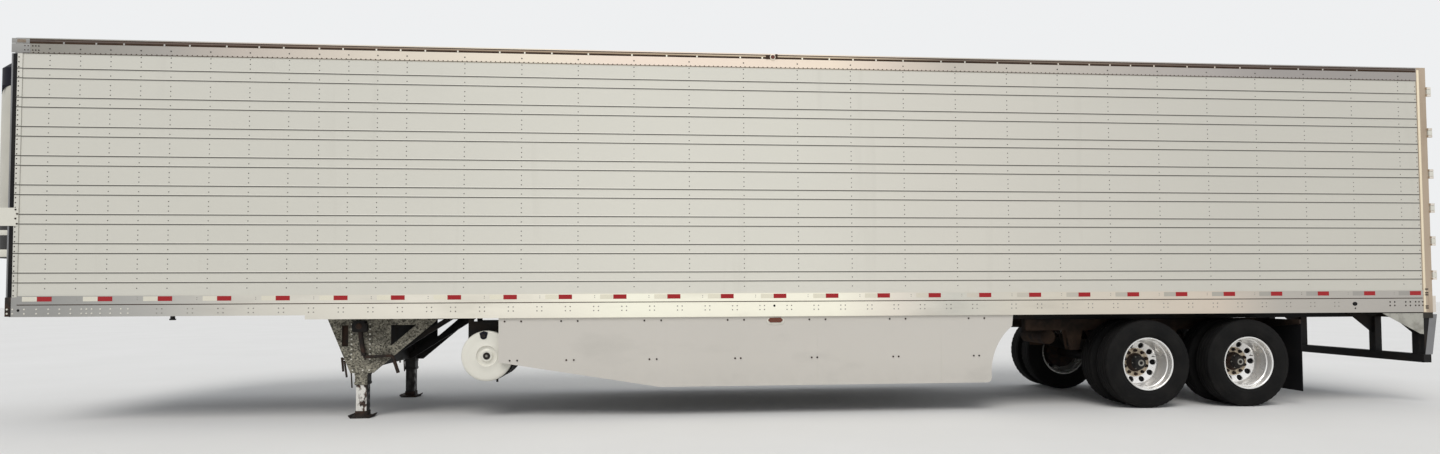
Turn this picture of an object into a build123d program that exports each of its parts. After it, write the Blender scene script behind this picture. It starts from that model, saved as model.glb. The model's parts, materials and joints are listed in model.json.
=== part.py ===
from build123d import *
import os

# Refrigerated van semi trailer on a sliding tandem, parked on its landing legs.
# Millimetres. +X runs from the nose to the rear doors, +Y to the kerb side, +Z up.
# The origin is on the ground, under the middle of the whole trailer.
# A station is a distance from the front face of the box, towards the rear.

# Box
box_length = 16200
box_width = 2590
box_height = 4110
half_width = box_width / 2
unit_depth = 400

# Rear hinges: the pins stand behind the rear frame, at the outer corners
hinge_stand = 52
hinge_inset = 3
knuckle_radius = 14

nose = -(box_length + hinge_stand + knuckle_radius - unit_depth) / 2
rear = nose + box_length

# Walls, rails and floor
rail_skin = 6
wall_thick = 60
roof_thick = 72
post_size = 95
rear_frame_depth = 123
rear_post_width = 100
top_rail_drop = 165
rail_top = 1375
rail_bottom = 1112
front_rail_bottom = 1156
rail_step = 3000
shelf_drop = 53
shelf_thick = 12
flange_thick = 8
flange_width = 50
rail_groove_height = 1281
groove_depth = 3
groove_width = 10
top_groove_drop = 48
top_groove_width = 20

top_rail_base = box_height - top_rail_drop
top_groove_height = box_height - top_groove_drop
wall_outer = half_width - rail_skin
wall_inner = wall_outer - wall_thick
wall_base = rail_top - shelf_drop
wall_top = box_height - roof_thick - rail_skin
panel_start = nose + post_size
frame_start = rear - rear_frame_depth

# Beads pressed in the side panels, in pairs
bead_pairs = 8
bead_spacing = 103.25
bead_top_margin = 160
bead_low_margin = 139
bead_width = 26
bead_stand = 4

# Floor and crossmembers
floor_base = 1264
floor_thick = 102
floor_rib = 34
floor_rib_width = 26
floor_rib_pitch = 76
pan_thick = 6
beam_base = 1170
beam_flange = 60
beam_plate = 6
beam_pitch = 304.8
first_beam = 2240
floor_top = floor_base + floor_thick

# Coupler and kingpin
coupler_length = 2100
coupler_thick = 10
coupler_ramp = 40
coupler_corner = 180
coupler_rib = 60
coupler_rib_pitch = 330
kingpin_setback = 914.4
kingpin_radius = 25.4
kingpin_collar_radius = 35.7
kingpin_root_radius = 36.5
kingpin_root = 32.5
kingpin_neck = 34
kingpin_collar = 17.6
kingpin_flange_radius = 76
kingpin_flange = 12
coupler_base = beam_base - coupler_thick

# Cooling unit on the nose
unit_width = 2030
unit_drop = 180
unit_cowl_height = 260
unit_lift = 415
unit_corner = 170
cowl_round = 60
unit_door_gap = 10
service_drop = 230
service_thick = 12
service_width = 420
service_plate = 150
unit_door_depth = 14
louvre_count = 9
louvre_width = 900
louvre_start = 420
louvre_height = 14
louvre_pitch = 26

# Landing legs
leg_station = 3480
leg_spread = 905
leg_width = 134
leg_wall = 6
leg_base = 365
leg_inner_width = 114
leg_inner_top = 760
leg_guide = 30
leg_fit = 0.5
foot_width = 240
foot_plate = 10
foot_lip = 26
foot_height = 95
gusset_thick = 8
gusset_base = 500
gusset_fore = 392
gusset_aft = 927
gusset_low_fore = 116
gusset_low_aft = 135
gusset_band = 136
slot_fore = 175
slot_width = 70
slot_height = 236
window_aft = 322
window_length = 272
window_height = 236
drag_reach = 1015
brace_size = 60
brace_height = 560
brace_web = 6
crank_height = 985
gearbox_length = 120
gearbox_stand = 80
gearbox_height = 120
gearbox_drop = 85
crank_radius = 14
crank_drop = 345
crank_reach = 290
crank_grip = 170
crank_lean = 50
crank_rise = 15
crank_fall = 75
shaft_radius = 14

# Fuel tank, lying across the trailer
tank_station = 4902
tank_height = 692
tank_radius = 280
tank_flats = 36
tank_boss_radius = 81
tank_length = 800
tank_inset = 85
tank_dish_radius = 122
tank_dish_depth = 18
tank_edge = 24
band_width = 60
band_thick = 6
hanger_plate_width = 460

# Side skirts
skirt_thick = 8
skirt_inset = 22
skirt_front = 5043
skirt_rise_length = 1771
skirt_clear = 1910
skirt_sweep = 244
skirt_front_base = 624
skirt_base = 332
skirt_arch_height = 982
skirt_corner = 60
strut_station = 5210
strut_second = 5825
strut_pitch = 913
strut_margin = 200
strut_width = 60
strut_thick = 6
strut_low = 620
strut_reach = 560

# Tandem: rails on the box, and the bogie that slides on them
slide_rail_lead = 2167
slide_rail_length = 5550
slide_rail_width = 70
slide_rail_out = 560
slide_rail_base = 1036
bogie_gap = 6
tandem_setback = 3633
axle_spread = 1263
tyre_radius = 520
bogie_lead = 1147
bogie_length = 3090
bogie_rail_depth = 140
bogie_rail_width = 120
bogie_cross = 100
arm_out = 480
arm_width = 90
hanger_offset = 510
hanger_length = 220
hanger_pivot_height = 735
hanger_base = 640
pivot_radius = 18
pivot_overrun = 30
arm_depth = 110
arm_end_depth = 50
spring_seat_rise = 30
spring_offset = 330
spring_radius = 118
spring_flats = 12
spring_waist = 34
axle_radius = 63.5
spindle_radius = 45
spindle_fit = 0.4
axle_clear = 6
chamber_radius = 82
chamber_length = 170
chamber_lead = 60
chamber_lift = 165
air_tank_radius = 100
air_tank_length = 620
air_tank_edge = 26
air_tank_height = 800
air_tank_lead = 727

# Wheels
tyre_width = 275
tyre_flats = 32
hub_flats = 16
belly_drop = 92
shoulder_width = 30
tyre_inset = 12
dual_spacing = 343
rim_radius = 311
rim_wall = 20
disc_thick = 24
disc_bore = 110
hand_hole_radius = 31
hand_hole_circle = 215
hand_hole_count = 10
hand_hole_flats = 6
drum_radius = 212
drum_width = 200
hub_cap_radius = 78
hub_reach = 150
flange_reach = 30
nave_radius = 92
nave_reach = 70

# Mud flaps
flap_thick = 8
flap_width = 610
flap_base = 172
flap_top = 1010
flap_inset = 40

# Rear doors and their gear
door_thick = 90
door_proud = 6
door_gap = 6
door_meeting = 8
door_bevel = 12
sill_base = 1040
sill_step = 3
header_depth = 160
strap_thick = 10
strap_height = 56
strap_length = 300
pin_radius = 8
pin_fit = 0.4
pin_flats = 8
lug_height = 26
lug_gap = 3
hinge_margin_low = 184
hinge_margin_top = 132
hinge_shares = (0, 0.185, 0.364, 0.55, 0.775, 1)
rod_radius = 13.5
rod_stand = 20
rod_overrun = 62
rod_guide_shares = (0.13, 0.38, 0.63, 0.88)
handle_length = 420
lock_rods = (
    # distance in from the door's hinged edge, handle height, handle's way: 1 to the hinges, -1 away
    (330, 1950, -1),
    (860, 1750, 1),
)

# Rear guard and bumpers
guard_base = 500
guard_height = 100
guard_depth = 100
guard_setback = 30
guard_post = 90
guard_outer_post = 1180
guard_inner_post = 590
guard_stay_low = 830
guard_stay_reach = 420
guard_stay_foot = 60
guard_stay_thick = 10
bumper_depth = 55
bumper_width = 150
bumper_height = 200

beam_start = nose + first_beam
axle_station = box_length - tandem_setback
bogie_front = axle_station - bogie_lead
air_tank_station = axle_station - air_tank_lead
slide_rail_start = axle_station - slide_rail_lead
skirt_kink = skirt_front + skirt_rise_length
skirt_rear = axle_station - skirt_clear
skirt_rear_top = skirt_rear + skirt_sweep
strut_count = int((skirt_rear - strut_second - strut_margin) / strut_pitch) + 1
unit_top = box_height - unit_drop
unit_shoulder = unit_top - unit_cowl_height
unit_base = rail_top + unit_lift
service_height = unit_base - service_drop
hub_height = tyre_radius
door_face = rear + door_proud
sill_top = rail_top - sill_step
header_base = box_height - header_depth
door_base = sill_top + door_gap
door_top = header_base - door_gap
door_inner = door_face - door_thick
hinge_low = door_base + hinge_margin_low
hinge_high = door_top - hinge_margin_top
hinge_heights = [hinge_low + share * (hinge_high - hinge_low) for share in hinge_shares]
rod_guide_heights = [door_base + share * (door_top - door_base) for share in rod_guide_shares]
opening_half = half_width - rear_post_width
hinge_x = rear + hinge_stand
hinge_y = half_width - hinge_inset

os.makedirs("parts", exist_ok=True)


def flatted(radius, flats, mode=Mode.ADD):
    """Draw a round as flats that touch it from outside, one of them level."""
    RegularPolygon(radius, flats, major_radius=False, rotation=180 / flats, mode=mode)


def save(builder, label):
    """Label one finished piece and write it."""
    builder.part.label = label
    export_step(builder.part, f"parts/{label}.step")


# Side walls: one insulated panel each, with its pressed beads
bead_heights = []
bead_top = top_rail_base - bead_top_margin
bead_low = rail_top + bead_low_margin
bead_pair_pitch = (bead_top - bead_spacing - bead_low) / (bead_pairs - 1)
for pair in range(bead_pairs):
    bead_heights.append(bead_top - pair * bead_pair_pitch)
    bead_heights.append(bead_top - bead_spacing - pair * bead_pair_pitch)

for label, side in (("side_wall_left", -1), ("side_wall_right", 1)):
    with BuildPart() as wall:
        with BuildSketch(Plane.YZ.offset(panel_start)):
            with Locations((side * (wall_outer + wall_inner) / 2, (wall_base + wall_top) / 2)):
                Rectangle(wall_thick, wall_top - wall_base)
            with Locations(*[(side * wall_outer, height) for height in bead_heights]):
                Polygon(
                    (0, -bead_width / 2),
                    (side * bead_stand, -bead_width / 5),
                    (side * bead_stand, bead_width / 5),
                    (0, bead_width / 2),
                    align=None,
                )
        extrude(amount=frame_start - panel_start)
    save(wall, label)

# Roof: one panel on the shelves of the top rails
with BuildPart() as roof:
    with BuildSketch(Plane.YZ.offset(panel_start)):
        with Locations((0, box_height - roof_thick / 2)):
            Rectangle(2 * wall_outer, roof_thick)
    extrude(amount=frame_start - panel_start)
save(roof, "roof")

# Front wall between the corner posts, up to the roof line
with BuildPart() as front_wall:
    with BuildSketch(Plane.YZ.offset(nose)):
        with Locations((0, (wall_base + box_height) / 2)):
            Rectangle(2 * (half_width - post_size), box_height - wall_base)
    extrude(amount=post_size)
    front_top = front_wall.edges().filter_by(Axis.Y).group_by(Axis.Z)[-1].sort_by(Axis.X)[0]
    fillet(front_top, radius=30)
save(front_wall, "front_wall")

# Floor: insulated slab with its ribbed deck
rib_count = int(2 * wall_inner / floor_rib_pitch)
with BuildPart() as floor:
    with BuildSketch(Plane.YZ.offset(panel_start)):
        with Locations((0, floor_base + floor_thick / 2)):
            Rectangle(2 * wall_inner, floor_thick)
        with Locations((0, floor_top + floor_rib / 2)):
            with GridLocations(floor_rib_pitch, 1, rib_count, 1):
                Rectangle(floor_rib_width, floor_rib)
    extrude(amount=frame_start - panel_start)
save(floor, "floor")

# Top rails: skin outside the wall, with a long groove, and a shelf under the roof
with BuildPart() as top_rails:
    with BuildSketch(Plane.YZ.offset(panel_start)):
        Polygon(
            (-half_width, top_rail_base),
            (-half_width, top_groove_height - top_groove_width / 2),
            (-half_width + groove_depth, top_groove_height - top_groove_width / 2),
            (-half_width + groove_depth, top_groove_height + top_groove_width / 2),
            (-half_width, top_groove_height + top_groove_width / 2),
            (-half_width, box_height),
            (-wall_outer, box_height),
            (-wall_outer, wall_top + rail_skin),
            (-wall_inner, wall_top + rail_skin),
            (-wall_inner, wall_top),
            (-wall_outer, wall_top),
            (-wall_outer, top_rail_base),
            align=None,
        )
    extrude(amount=frame_start - panel_start)
    mirror(about=Plane.XZ)
save(top_rails, "top_rails")

# Bottom rails: shallow over the coupler, deeper behind the step
rail_parts = (
    # station from, station to, lowest edge
    (post_size, rail_step, front_rail_bottom),
    (rail_step, box_length - rear_frame_depth, rail_bottom),
)
with BuildPart() as bottom_rails:
    for start, end, low in rail_parts:
        with BuildSketch(Plane.YZ.offset(nose + start)):
            Polygon(
                (-half_width, low),
                (-half_width, rail_groove_height - groove_width / 2),
                (-half_width + groove_depth, rail_groove_height - groove_width / 2),
                (-half_width + groove_depth, rail_groove_height + groove_width / 2),
                (-half_width, rail_groove_height + groove_width / 2),
                (-half_width, rail_top),
                (-wall_outer, rail_top),
                (-wall_outer, wall_base),
                (-wall_inner, wall_base),
                (-wall_inner, wall_base - shelf_thick),
                (-wall_outer, wall_base - shelf_thick),
                (-wall_outer, low + flange_thick),
                (-wall_outer + flange_width, low + flange_thick),
                (-wall_outer + flange_width, low),
                align=None,
            )
        extrude(amount=end - start)
    mirror(about=Plane.XZ)
save(bottom_rails, "bottom_rails")

# Corner posts of the nose, with their rounded leading edge
with BuildPart() as corner_posts:
    with BuildSketch(Plane.XY.offset(front_rail_bottom)):
        with BuildLine():
            Polyline(
                (nose + post_size, -half_width),
                (nose + post_size, -half_width + post_size),
                (nose, -half_width + post_size),
                (nose, -half_width + post_size / 2),
            )
            RadiusArc(
                (nose, -half_width + post_size / 2), (nose + post_size / 2, -half_width), -post_size / 2
            )
            Line((nose + post_size / 2, -half_width), (nose + post_size, -half_width))
        make_face()
    extrude(amount=box_height - front_rail_bottom)
    mirror(about=Plane.XZ)
save(corner_posts, "corner_posts")

# Rear frame: posts, header and deep sill, with the hinge lugs at its outer corners
with BuildPart() as rear_frame:
    with BuildSketch(Plane.YZ.offset(frame_start)):
        with Locations((0, (sill_base + box_height) / 2)):
            Rectangle(box_width, box_height - sill_base)
        with Locations((0, (sill_top + header_base) / 2)):
            Rectangle(2 * opening_half, header_base - sill_top, mode=Mode.SUBTRACT)
    extrude(amount=rear_frame_depth)
    lug_planes = []
    for height in hinge_heights:
        lug_planes.append(Plane.XY.offset(height + strap_height / 2 + lug_gap))
        lug_planes.append(Plane.XY.offset(height - strap_height / 2 - lug_gap - lug_height))
    with BuildSketch(*lug_planes):
        with Locations((hinge_x, -hinge_y)):
            RegularPolygon(knuckle_radius, pin_flats)
        with Locations(((rear + hinge_x) / 2, -hinge_y)):
            Rectangle(hinge_x - rear, knuckle_radius * 2)
        with Locations((hinge_x, -hinge_y)):
            flatted(pin_radius + pin_fit, pin_flats, Mode.SUBTRACT)
    extrude(amount=lug_height)
    mirror(about=Plane.XZ)
save(rear_frame, "rear_frame")

# Crossmembers: inverted tees under the floor pan
beam_count = int((frame_start - beam_start - beam_flange) / beam_pitch) + 1
with BuildPart() as crossmembers:
    with BuildSketch(Plane.XZ):
        with Locations(((panel_start + frame_start) / 2, floor_base - pan_thick / 2)):
            Rectangle(frame_start - panel_start, pan_thick)
        with Locations((beam_start + (beam_count - 1) * beam_pitch / 2, beam_base)):
            with GridLocations(beam_pitch, 1, beam_count, 1):
                Polygon(
                    (-beam_flange / 2, 0),
                    (beam_flange / 2, 0),
                    (beam_flange / 2, beam_plate),
                    (beam_plate / 2, beam_plate),
                    (beam_plate / 2, floor_base - beam_base),
                    (-beam_plate / 2, floor_base - beam_base),
                    (-beam_plate / 2, beam_plate),
                    (-beam_flange / 2, beam_plate),
                    align=None,
                )
    extrude(amount=wall_inner, both=True)
save(crossmembers, "crossmembers")

# Coupler: bearing plate with round rear corners, turned-up nose and ribs up to the pan
coupler_half = wall_inner
coupler_end = nose + coupler_length
rib_total = int((coupler_length - 200) / coupler_rib_pitch)
with BuildPart() as coupler:
    with BuildSketch(Plane.XY.offset(coupler_base)) as coupler_plan:
        with Locations(((panel_start + coupler_end) / 2, 0)):
            Rectangle(coupler_end - panel_start, 2 * coupler_half)
        fillet(coupler_plan.vertices().group_by(Axis.X)[-1], radius=coupler_corner)
        with Locations((nose + kingpin_setback, 0)):
            flatted(kingpin_root_radius, hub_flats, Mode.SUBTRACT)
    extrude(amount=coupler_thick)
    with Locations((nose + post_size / 2, 0, (coupler_base + wall_base) / 2)):
        Box(post_size, 2 * (half_width - post_size), wall_base - coupler_base)
    nose_edge = coupler.edges().filter_by(Axis.Y).group_by(Axis.Z)[0].sort_by(Axis.X)[0]
    chamfer(nose_edge, length=coupler_ramp)
    for number in range(rib_total):
        middle = nose + 200 + coupler_rib_pitch * (number + 0.5)
        with Locations((middle, 0, (beam_base + floor_base - pan_thick) / 2)):
            Box(coupler_rib, 2 * (coupler_half - coupler_corner), floor_base - pan_thick - beam_base)
save(coupler, "coupler")

# Kingpin: passed up through the plate, its flange welded down on top
with BuildPart() as kingpin:
    root_end = coupler_base - kingpin_root
    neck_end = root_end - kingpin_neck
    with BuildSketch(Plane.XY.offset(root_end)):
        flatted(kingpin_root_radius, hub_flats)
    extrude(amount=beam_base - root_end)
    with BuildSketch(Plane.XY.offset(beam_base)):
        flatted(kingpin_flange_radius, hub_flats)
    extrude(amount=kingpin_flange)
    with Locations((0, 0, (root_end + neck_end) / 2)):
        Cylinder(kingpin_radius, kingpin_neck)
    with Locations((0, 0, neck_end - kingpin_collar / 2)):
        Cylinder(kingpin_collar_radius, kingpin_collar)
kingpin.part = kingpin.part.moved(Location((nose + kingpin_setback, 0, 0)))
save(kingpin, "kingpin")

# Cooling unit: white housing with doors, black cowl with louvres
with BuildPart() as unit_body:
    with BuildSketch(Plane.XY.offset(unit_base)) as unit_plan:
        with Locations((nose - unit_depth / 2, 0)):
            Rectangle(unit_depth, unit_width)
        fillet(unit_plan.vertices().group_by(Axis.X)[0], radius=unit_corner)
    extrude(amount=unit_shoulder - unit_base)
    with Locations((nose - unit_depth, 0, (unit_base + unit_shoulder) / 2)):
        Box(2 * unit_door_depth, unit_door_gap, unit_shoulder - unit_base - 120, mode=Mode.SUBTRACT)
    for louvre in range(louvre_count):
        height = unit_base + louvre_start + louvre * louvre_pitch * 2
        with Locations((nose - unit_depth, 0, height)):
            Box(2 * unit_door_depth, louvre_width, louvre_height * 2, mode=Mode.SUBTRACT)
save(unit_body, "unit_body")

with BuildPart() as unit_cowl:
    with BuildSketch(Plane.XY.offset(unit_shoulder)) as cowl_plan:
        with Locations((nose - unit_depth / 2, 0)):
            Rectangle(unit_depth, unit_width)
        fillet(cowl_plan.vertices().group_by(Axis.X)[0], radius=unit_corner)
    extrude(amount=unit_top - unit_shoulder)
    cowl_edge = unit_cowl.faces().sort_by(Axis.Z)[-1].edges().filter_by(Axis.Y).sort_by(Axis.X)[0]
    chamfer(cowl_edge, length=cowl_round)
    for louvre in range(louvre_count - 2):
        with Locations((nose - unit_depth, 0, unit_shoulder + 40 + louvre * louvre_pitch)):
            Box(2 * unit_door_depth, unit_width - 2 * unit_corner - 60, louvre_height, mode=Mode.SUBTRACT)
save(unit_cowl, "unit_cowl")

# Flat plates bolted to the sides, running forward past the nose corners
plate_base = 2113
plate_height = 191
plate_front = 175
plate_thick = 6
with BuildPart() as nose_plates:
    with Locations((nose + (post_size - plate_front) / 2, -half_width - plate_thick / 2, plate_base + plate_height / 2)):
        Box(post_size + plate_front, plate_thick, plate_height)
    mirror(about=Plane.XZ)
save(nose_plates, "nose_plates")

# Service panel under the cooling unit, with air couplings and socket
with BuildPart() as service_panel:
    with Locations((nose - service_thick / 2, 0, service_height)):
        Box(service_thick, service_width, service_plate)
    for across, radius, reach in ((-140, 30, 40), (140, 30, 40), (0, 38, 50)):
        with BuildSketch(Plane.YZ.offset(nose - service_thick)):
            with Locations((across, service_height)):
                flatted(radius, hub_flats)
        extrude(amount=-reach)
save(service_panel, "service_panel")

# Landing legs: outer tubes with a guide, square inner legs and hinged feet
leg_x = nose + leg_station
with BuildPart() as leg_tubes:
    with BuildSketch(Plane.XY.offset(leg_base)):
        with Locations((leg_x, -leg_spread)):
            Rectangle(leg_width, leg_width)
            Rectangle(leg_width - 2 * leg_wall, leg_width - 2 * leg_wall, mode=Mode.SUBTRACT)
    extrude(amount=beam_base - leg_base)
    with BuildSketch(Plane.XY.offset(leg_base)):
        with Locations((leg_x, -leg_spread)):
            Rectangle(leg_width - leg_wall, leg_width - leg_wall)
            Rectangle(leg_inner_width + 2 * leg_fit, leg_inner_width + 2 * leg_fit, mode=Mode.SUBTRACT)
    extrude(amount=leg_guide)
    mirror(about=Plane.XZ)
save(leg_tubes, "leg_tubes")

with BuildPart() as leg_inners:
    with Locations((leg_x, -leg_spread, (foot_height - 20 + leg_inner_top) / 2)):
        Box(leg_inner_width, leg_inner_width, leg_inner_top - foot_height + 20)
    mirror(about=Plane.XZ)
save(leg_inners, "leg_inners")

with BuildPart() as leg_feet:
    with BuildSketch(Plane.XZ.offset(leg_spread)):
        Polygon(
            (leg_x - foot_width / 2, foot_lip),
            (leg_x - foot_width / 2 + foot_lip, 0),
            (leg_x + foot_width / 2 - foot_lip, 0),
            (leg_x + foot_width / 2, foot_lip),
            (leg_x + foot_width / 2, foot_lip + foot_plate),
            (leg_x + foot_width / 2 - foot_lip, foot_plate),
            (leg_x - foot_width / 2 + foot_lip, foot_plate),
            (leg_x - foot_width / 2, foot_lip + foot_plate),
            align=None,
        )
    extrude(amount=foot_width / 2, both=True)
    with Locations((leg_x, -leg_spread, (foot_plate + foot_height - 20) / 2)):
        Box(leg_inner_width + 16, leg_inner_width, foot_height - 20 - foot_plate)
    mirror(about=Plane.XZ)
save(leg_feet, "leg_feet")

# Wing plates on the outer sides of the legs, with slot and three-cornered window
gusset_out = leg_spread + leg_width / 2
with BuildPart() as leg_gussets:
    with BuildSketch(Plane.XZ.offset(gusset_out)):
        Polygon(
            (leg_x - gusset_low_fore, gusset_base),
            (leg_x + gusset_low_aft, gusset_base),
            (leg_x + gusset_aft, beam_base),
            (leg_x - gusset_fore, beam_base),
            align=None,
        )
        with Locations((leg_x - slot_fore, beam_base - gusset_band - slot_height / 2)):
            Rectangle(slot_width, slot_height, mode=Mode.SUBTRACT)
        Polygon(
            (leg_x + window_aft, beam_base - gusset_band),
            (leg_x + window_aft, beam_base - gusset_band - window_height),
            (leg_x + window_aft + window_length, beam_base - gusset_band),
            align=None,
            mode=Mode.SUBTRACT,
        )
    extrude(amount=gusset_thick)
    mirror(about=Plane.XZ)
save(leg_gussets, "leg_gussets")

# Braces: cross tube and web between the legs, and drag braces up to the crossmembers
drag_x = leg_x + drag_reach
with BuildPart() as leg_braces:
    with Locations((leg_x, 0, brace_height)):
        Box(brace_size, 2 * leg_spread - leg_width, brace_size)
    with Locations((leg_x + (brace_size - brace_web) / 2, 0, (brace_height + beam_base) / 2)):
        Box(brace_web, 2 * leg_spread - leg_width, beam_base - brace_height)
    with BuildSketch(Plane.XZ.offset(leg_spread - leg_width)):
        Polygon(
            (leg_x, brace_height - brace_size / 2),
            (leg_x + brace_size, brace_height - brace_size / 2),
            (drag_x + brace_size, beam_base),
            (drag_x - brace_size / 2, beam_base),
            (leg_x, brace_height + brace_size / 2),
            align=None,
        )
    extrude(amount=-brace_size)
    mirror(about=Plane.XZ)
save(leg_braces, "leg_braces")

# Gearbox, cross shaft and folded crank
crank_out = gusset_out + gusset_thick + gearbox_stand / 2
crank_top = beam_base - gearbox_drop - gearbox_height / 2
with BuildPart() as leg_crank:
    with BuildSketch(Plane.XZ.offset(leg_spread - leg_width / 2)):
        with Locations((leg_x, crank_height)):
            flatted(shaft_radius, pin_flats)
    extrude(amount=leg_width - 2 * leg_spread)
    with Locations((leg_x, -crank_out, crank_top)):
        Box(gearbox_length, gearbox_stand, gearbox_height)
    with BuildLine() as crank_path:
        Polyline(
            (leg_x, -crank_out, crank_top),
            (leg_x + crank_lean, -crank_out, crank_top - crank_drop),
            (leg_x + crank_lean + crank_reach, -crank_out, crank_top - crank_drop + crank_rise),
            (leg_x + crank_lean + crank_reach + crank_fall, -crank_out, crank_top - crank_drop - crank_grip),
        )
    with BuildSketch(Plane(origin=crank_path.line @ 0, z_dir=crank_path.line % 0)):
        RegularPolygon(crank_radius, pin_flats)
    sweep(path=crank_path.line, transition=Transition.RIGHT)
save(leg_crank, "leg_crank")

# Fuel tank, with a ring pressed in its outer end
tank_x = nose + tank_station
tank_out = half_width - tank_inset
with BuildPart() as fuel_tank:
    tank_face = Plane.XZ.offset(tank_out)
    with BuildSketch(tank_face):
        with Locations((tank_x, tank_height)):
            flatted(tank_radius, tank_flats)
    extrude(amount=-tank_length)
    for end in fuel_tank.faces().filter_by(Axis.Y):
        chamfer(end.outer_wire().edges(), length=tank_edge)
    with BuildSketch(tank_face):
        with Locations((tank_x, tank_height)):
            flatted(tank_dish_radius, tank_flats)
            flatted(tank_boss_radius, tank_flats, Mode.SUBTRACT)
    extrude(amount=-tank_dish_depth, mode=Mode.SUBTRACT)
save(fuel_tank, "fuel_tank")

with BuildPart() as tank_hangers:
    for place in (0.22, 0.78):
        middle = tank_out - tank_length * place
        with BuildSketch(Plane.XZ.offset(middle)):
            with Locations((tank_x, tank_height)):
                flatted(tank_radius + band_thick, tank_flats)
            with Locations((tank_x, (tank_height + beam_base) / 2)):
                Rectangle(hanger_plate_width, beam_base - tank_height)
            with Locations((tank_x, tank_height)):
                flatted(tank_radius, tank_flats, Mode.SUBTRACT)
            with Locations((tank_x, beam_base - 60)):
                Rectangle(hanger_plate_width - 100, 80, mode=Mode.SUBTRACT)
        extrude(amount=band_width / 2, both=True)
save(tank_hangers, "tank_hangers")

# Side skirts
skirt_out = half_width - skirt_inset
with BuildPart() as side_skirts:
    with BuildSketch(Plane.XZ.offset(skirt_out - skirt_thick)) as skirt_face:
        with BuildLine():
            Polyline(
                (nose + skirt_rear_top, skirt_arch_height),
                (nose + skirt_rear_top + 13, rail_bottom),
                (nose + skirt_front, rail_bottom),
                (nose + skirt_front, skirt_front_base),
                (nose + skirt_kink, skirt_base),
                (nose + skirt_rear, skirt_base),
            )
            ThreePointArc(
                (nose + skirt_rear, skirt_base),
                (nose + skirt_rear + 60, skirt_base + 420),
                (nose + skirt_rear_top, skirt_arch_height),
            )
        make_face()
        low_corner = skirt_face.vertices().group_by(Axis.Y)[0].sort_by(Axis.X)[-1]
        fillet(low_corner, radius=skirt_corner)
    extrude(amount=skirt_thick)
    mirror(about=Plane.XZ)
save(side_skirts, "side_skirts")

strut_stations = [strut_station]
for number in range(strut_count):
    strut_stations.append(strut_second + strut_pitch * number)
strut_out = skirt_out - skirt_thick
with BuildPart() as skirt_struts:
    for station in strut_stations:
        with BuildSketch(Plane.YZ.offset(nose + station - strut_width / 2)):
            Polygon(
                (-strut_out, strut_low),
                (-strut_out, strut_low + 120),
                (-strut_out + strut_thick, strut_low + 120),
                (-strut_out + strut_reach, beam_base - strut_thick),
                (-strut_out + strut_reach, beam_base),
                (-strut_out + strut_reach + 80, beam_base),
                (-strut_out + strut_reach + 80, beam_base - strut_thick),
                (-strut_out + strut_reach + strut_thick, beam_base - strut_thick),
                (-strut_out + strut_thick * 2, strut_low + 112),
                (-strut_out + strut_thick, strut_low),
                align=None,
            )
        extrude(amount=strut_width)
    mirror(about=Plane.XZ)
save(skirt_struts, "skirt_struts")

# Rails that the tandem slides on
with BuildPart() as slider_rails:
    with BuildSketch(Plane.YZ.offset(nose + slide_rail_start)):
        Polygon(
            (-slide_rail_out, slide_rail_base),
            (-slide_rail_out, beam_base),
            (-slide_rail_out + slide_rail_width, beam_base),
            (-slide_rail_out + slide_rail_width, beam_base - 10),
            (-slide_rail_out + 10, beam_base - 10),
            (-slide_rail_out + 10, slide_rail_base + 10),
            (-slide_rail_out + slide_rail_width, slide_rail_base + 10),
            (-slide_rail_out + slide_rail_width, slide_rail_base),
            align=None,
        )
    extrude(amount=slide_rail_length)
    mirror(about=Plane.XZ)
save(slider_rails, "slider_rails")

# Rear guard: bar on four posts, with stays to the sill
guard_x = rear - guard_setback - guard_depth / 2
with BuildPart() as rear_guard:
    with Locations((guard_x, 0, guard_base + guard_height / 2)):
        Box(guard_depth, box_width - 20, guard_height)
    for out in (guard_outer_post, guard_inner_post):
        with Locations((guard_x, -out, (guard_base + guard_height + sill_base) / 2)):
            Box(guard_post, guard_post, sill_base - guard_base - guard_height)
        with BuildSketch(Plane.XZ.offset(out - guard_stay_thick / 2)):
            Polygon(
                (guard_x - guard_post / 2, guard_stay_low),
                (guard_x - guard_post / 2, sill_base),
                (guard_x - guard_stay_reach, beam_base),
                (guard_x - guard_stay_reach - guard_stay_foot, beam_base),
                align=None,
            )
        extrude(amount=guard_stay_thick)
    mirror(about=Plane.XZ)
save(rear_guard, "rear_guard")

# Rubber dock bumpers on the sill corners
with BuildPart() as dock_bumpers:
    bumper_y = -half_width + bumper_width / 2 + 12
    with Locations((rear + bumper_depth / 2, bumper_y, sill_base + 70 + bumper_height / 2)):
        Box(bumper_depth, bumper_width, bumper_height)
    mirror(about=Plane.XZ)
save(dock_bumpers, "dock_bumpers")

# Lamps: red at the rear, amber at the sides and the nose
lamp_stand = 12
lamp_flats = 12
side_lamp_radius = 24
side_lamp_shift = 6
side_lamp_drop = 40
skirt_lamp_shift = 21
skirt_lamp_drop = 42
skirt_lamp_length = 165
skirt_lamp_height = 54
skirt_lamp_corner = 22
nose_lamp_out = 1150
nose_lamp_drop = 60
amber_length = 70
amber_height = 30
red_lamps = (
    # y, z, radius of each rear lamp
    (-860, 1210, 60),
    (-720, 1210, 60),
    (0, 1250, 28),
    (-150, 1250, 28),
    (0, box_height - 75, 28),
    (-150, box_height - 75, 28),
)
with BuildPart() as red_lights:
    for across, height, radius in red_lamps:
        with BuildSketch(Plane.YZ.offset(rear)):
            with Locations((across, height)):
                flatted(radius, lamp_flats)
        extrude(amount=lamp_stand)
    mirror(about=Plane.XZ)
save(red_lights, "red_lights")

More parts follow.
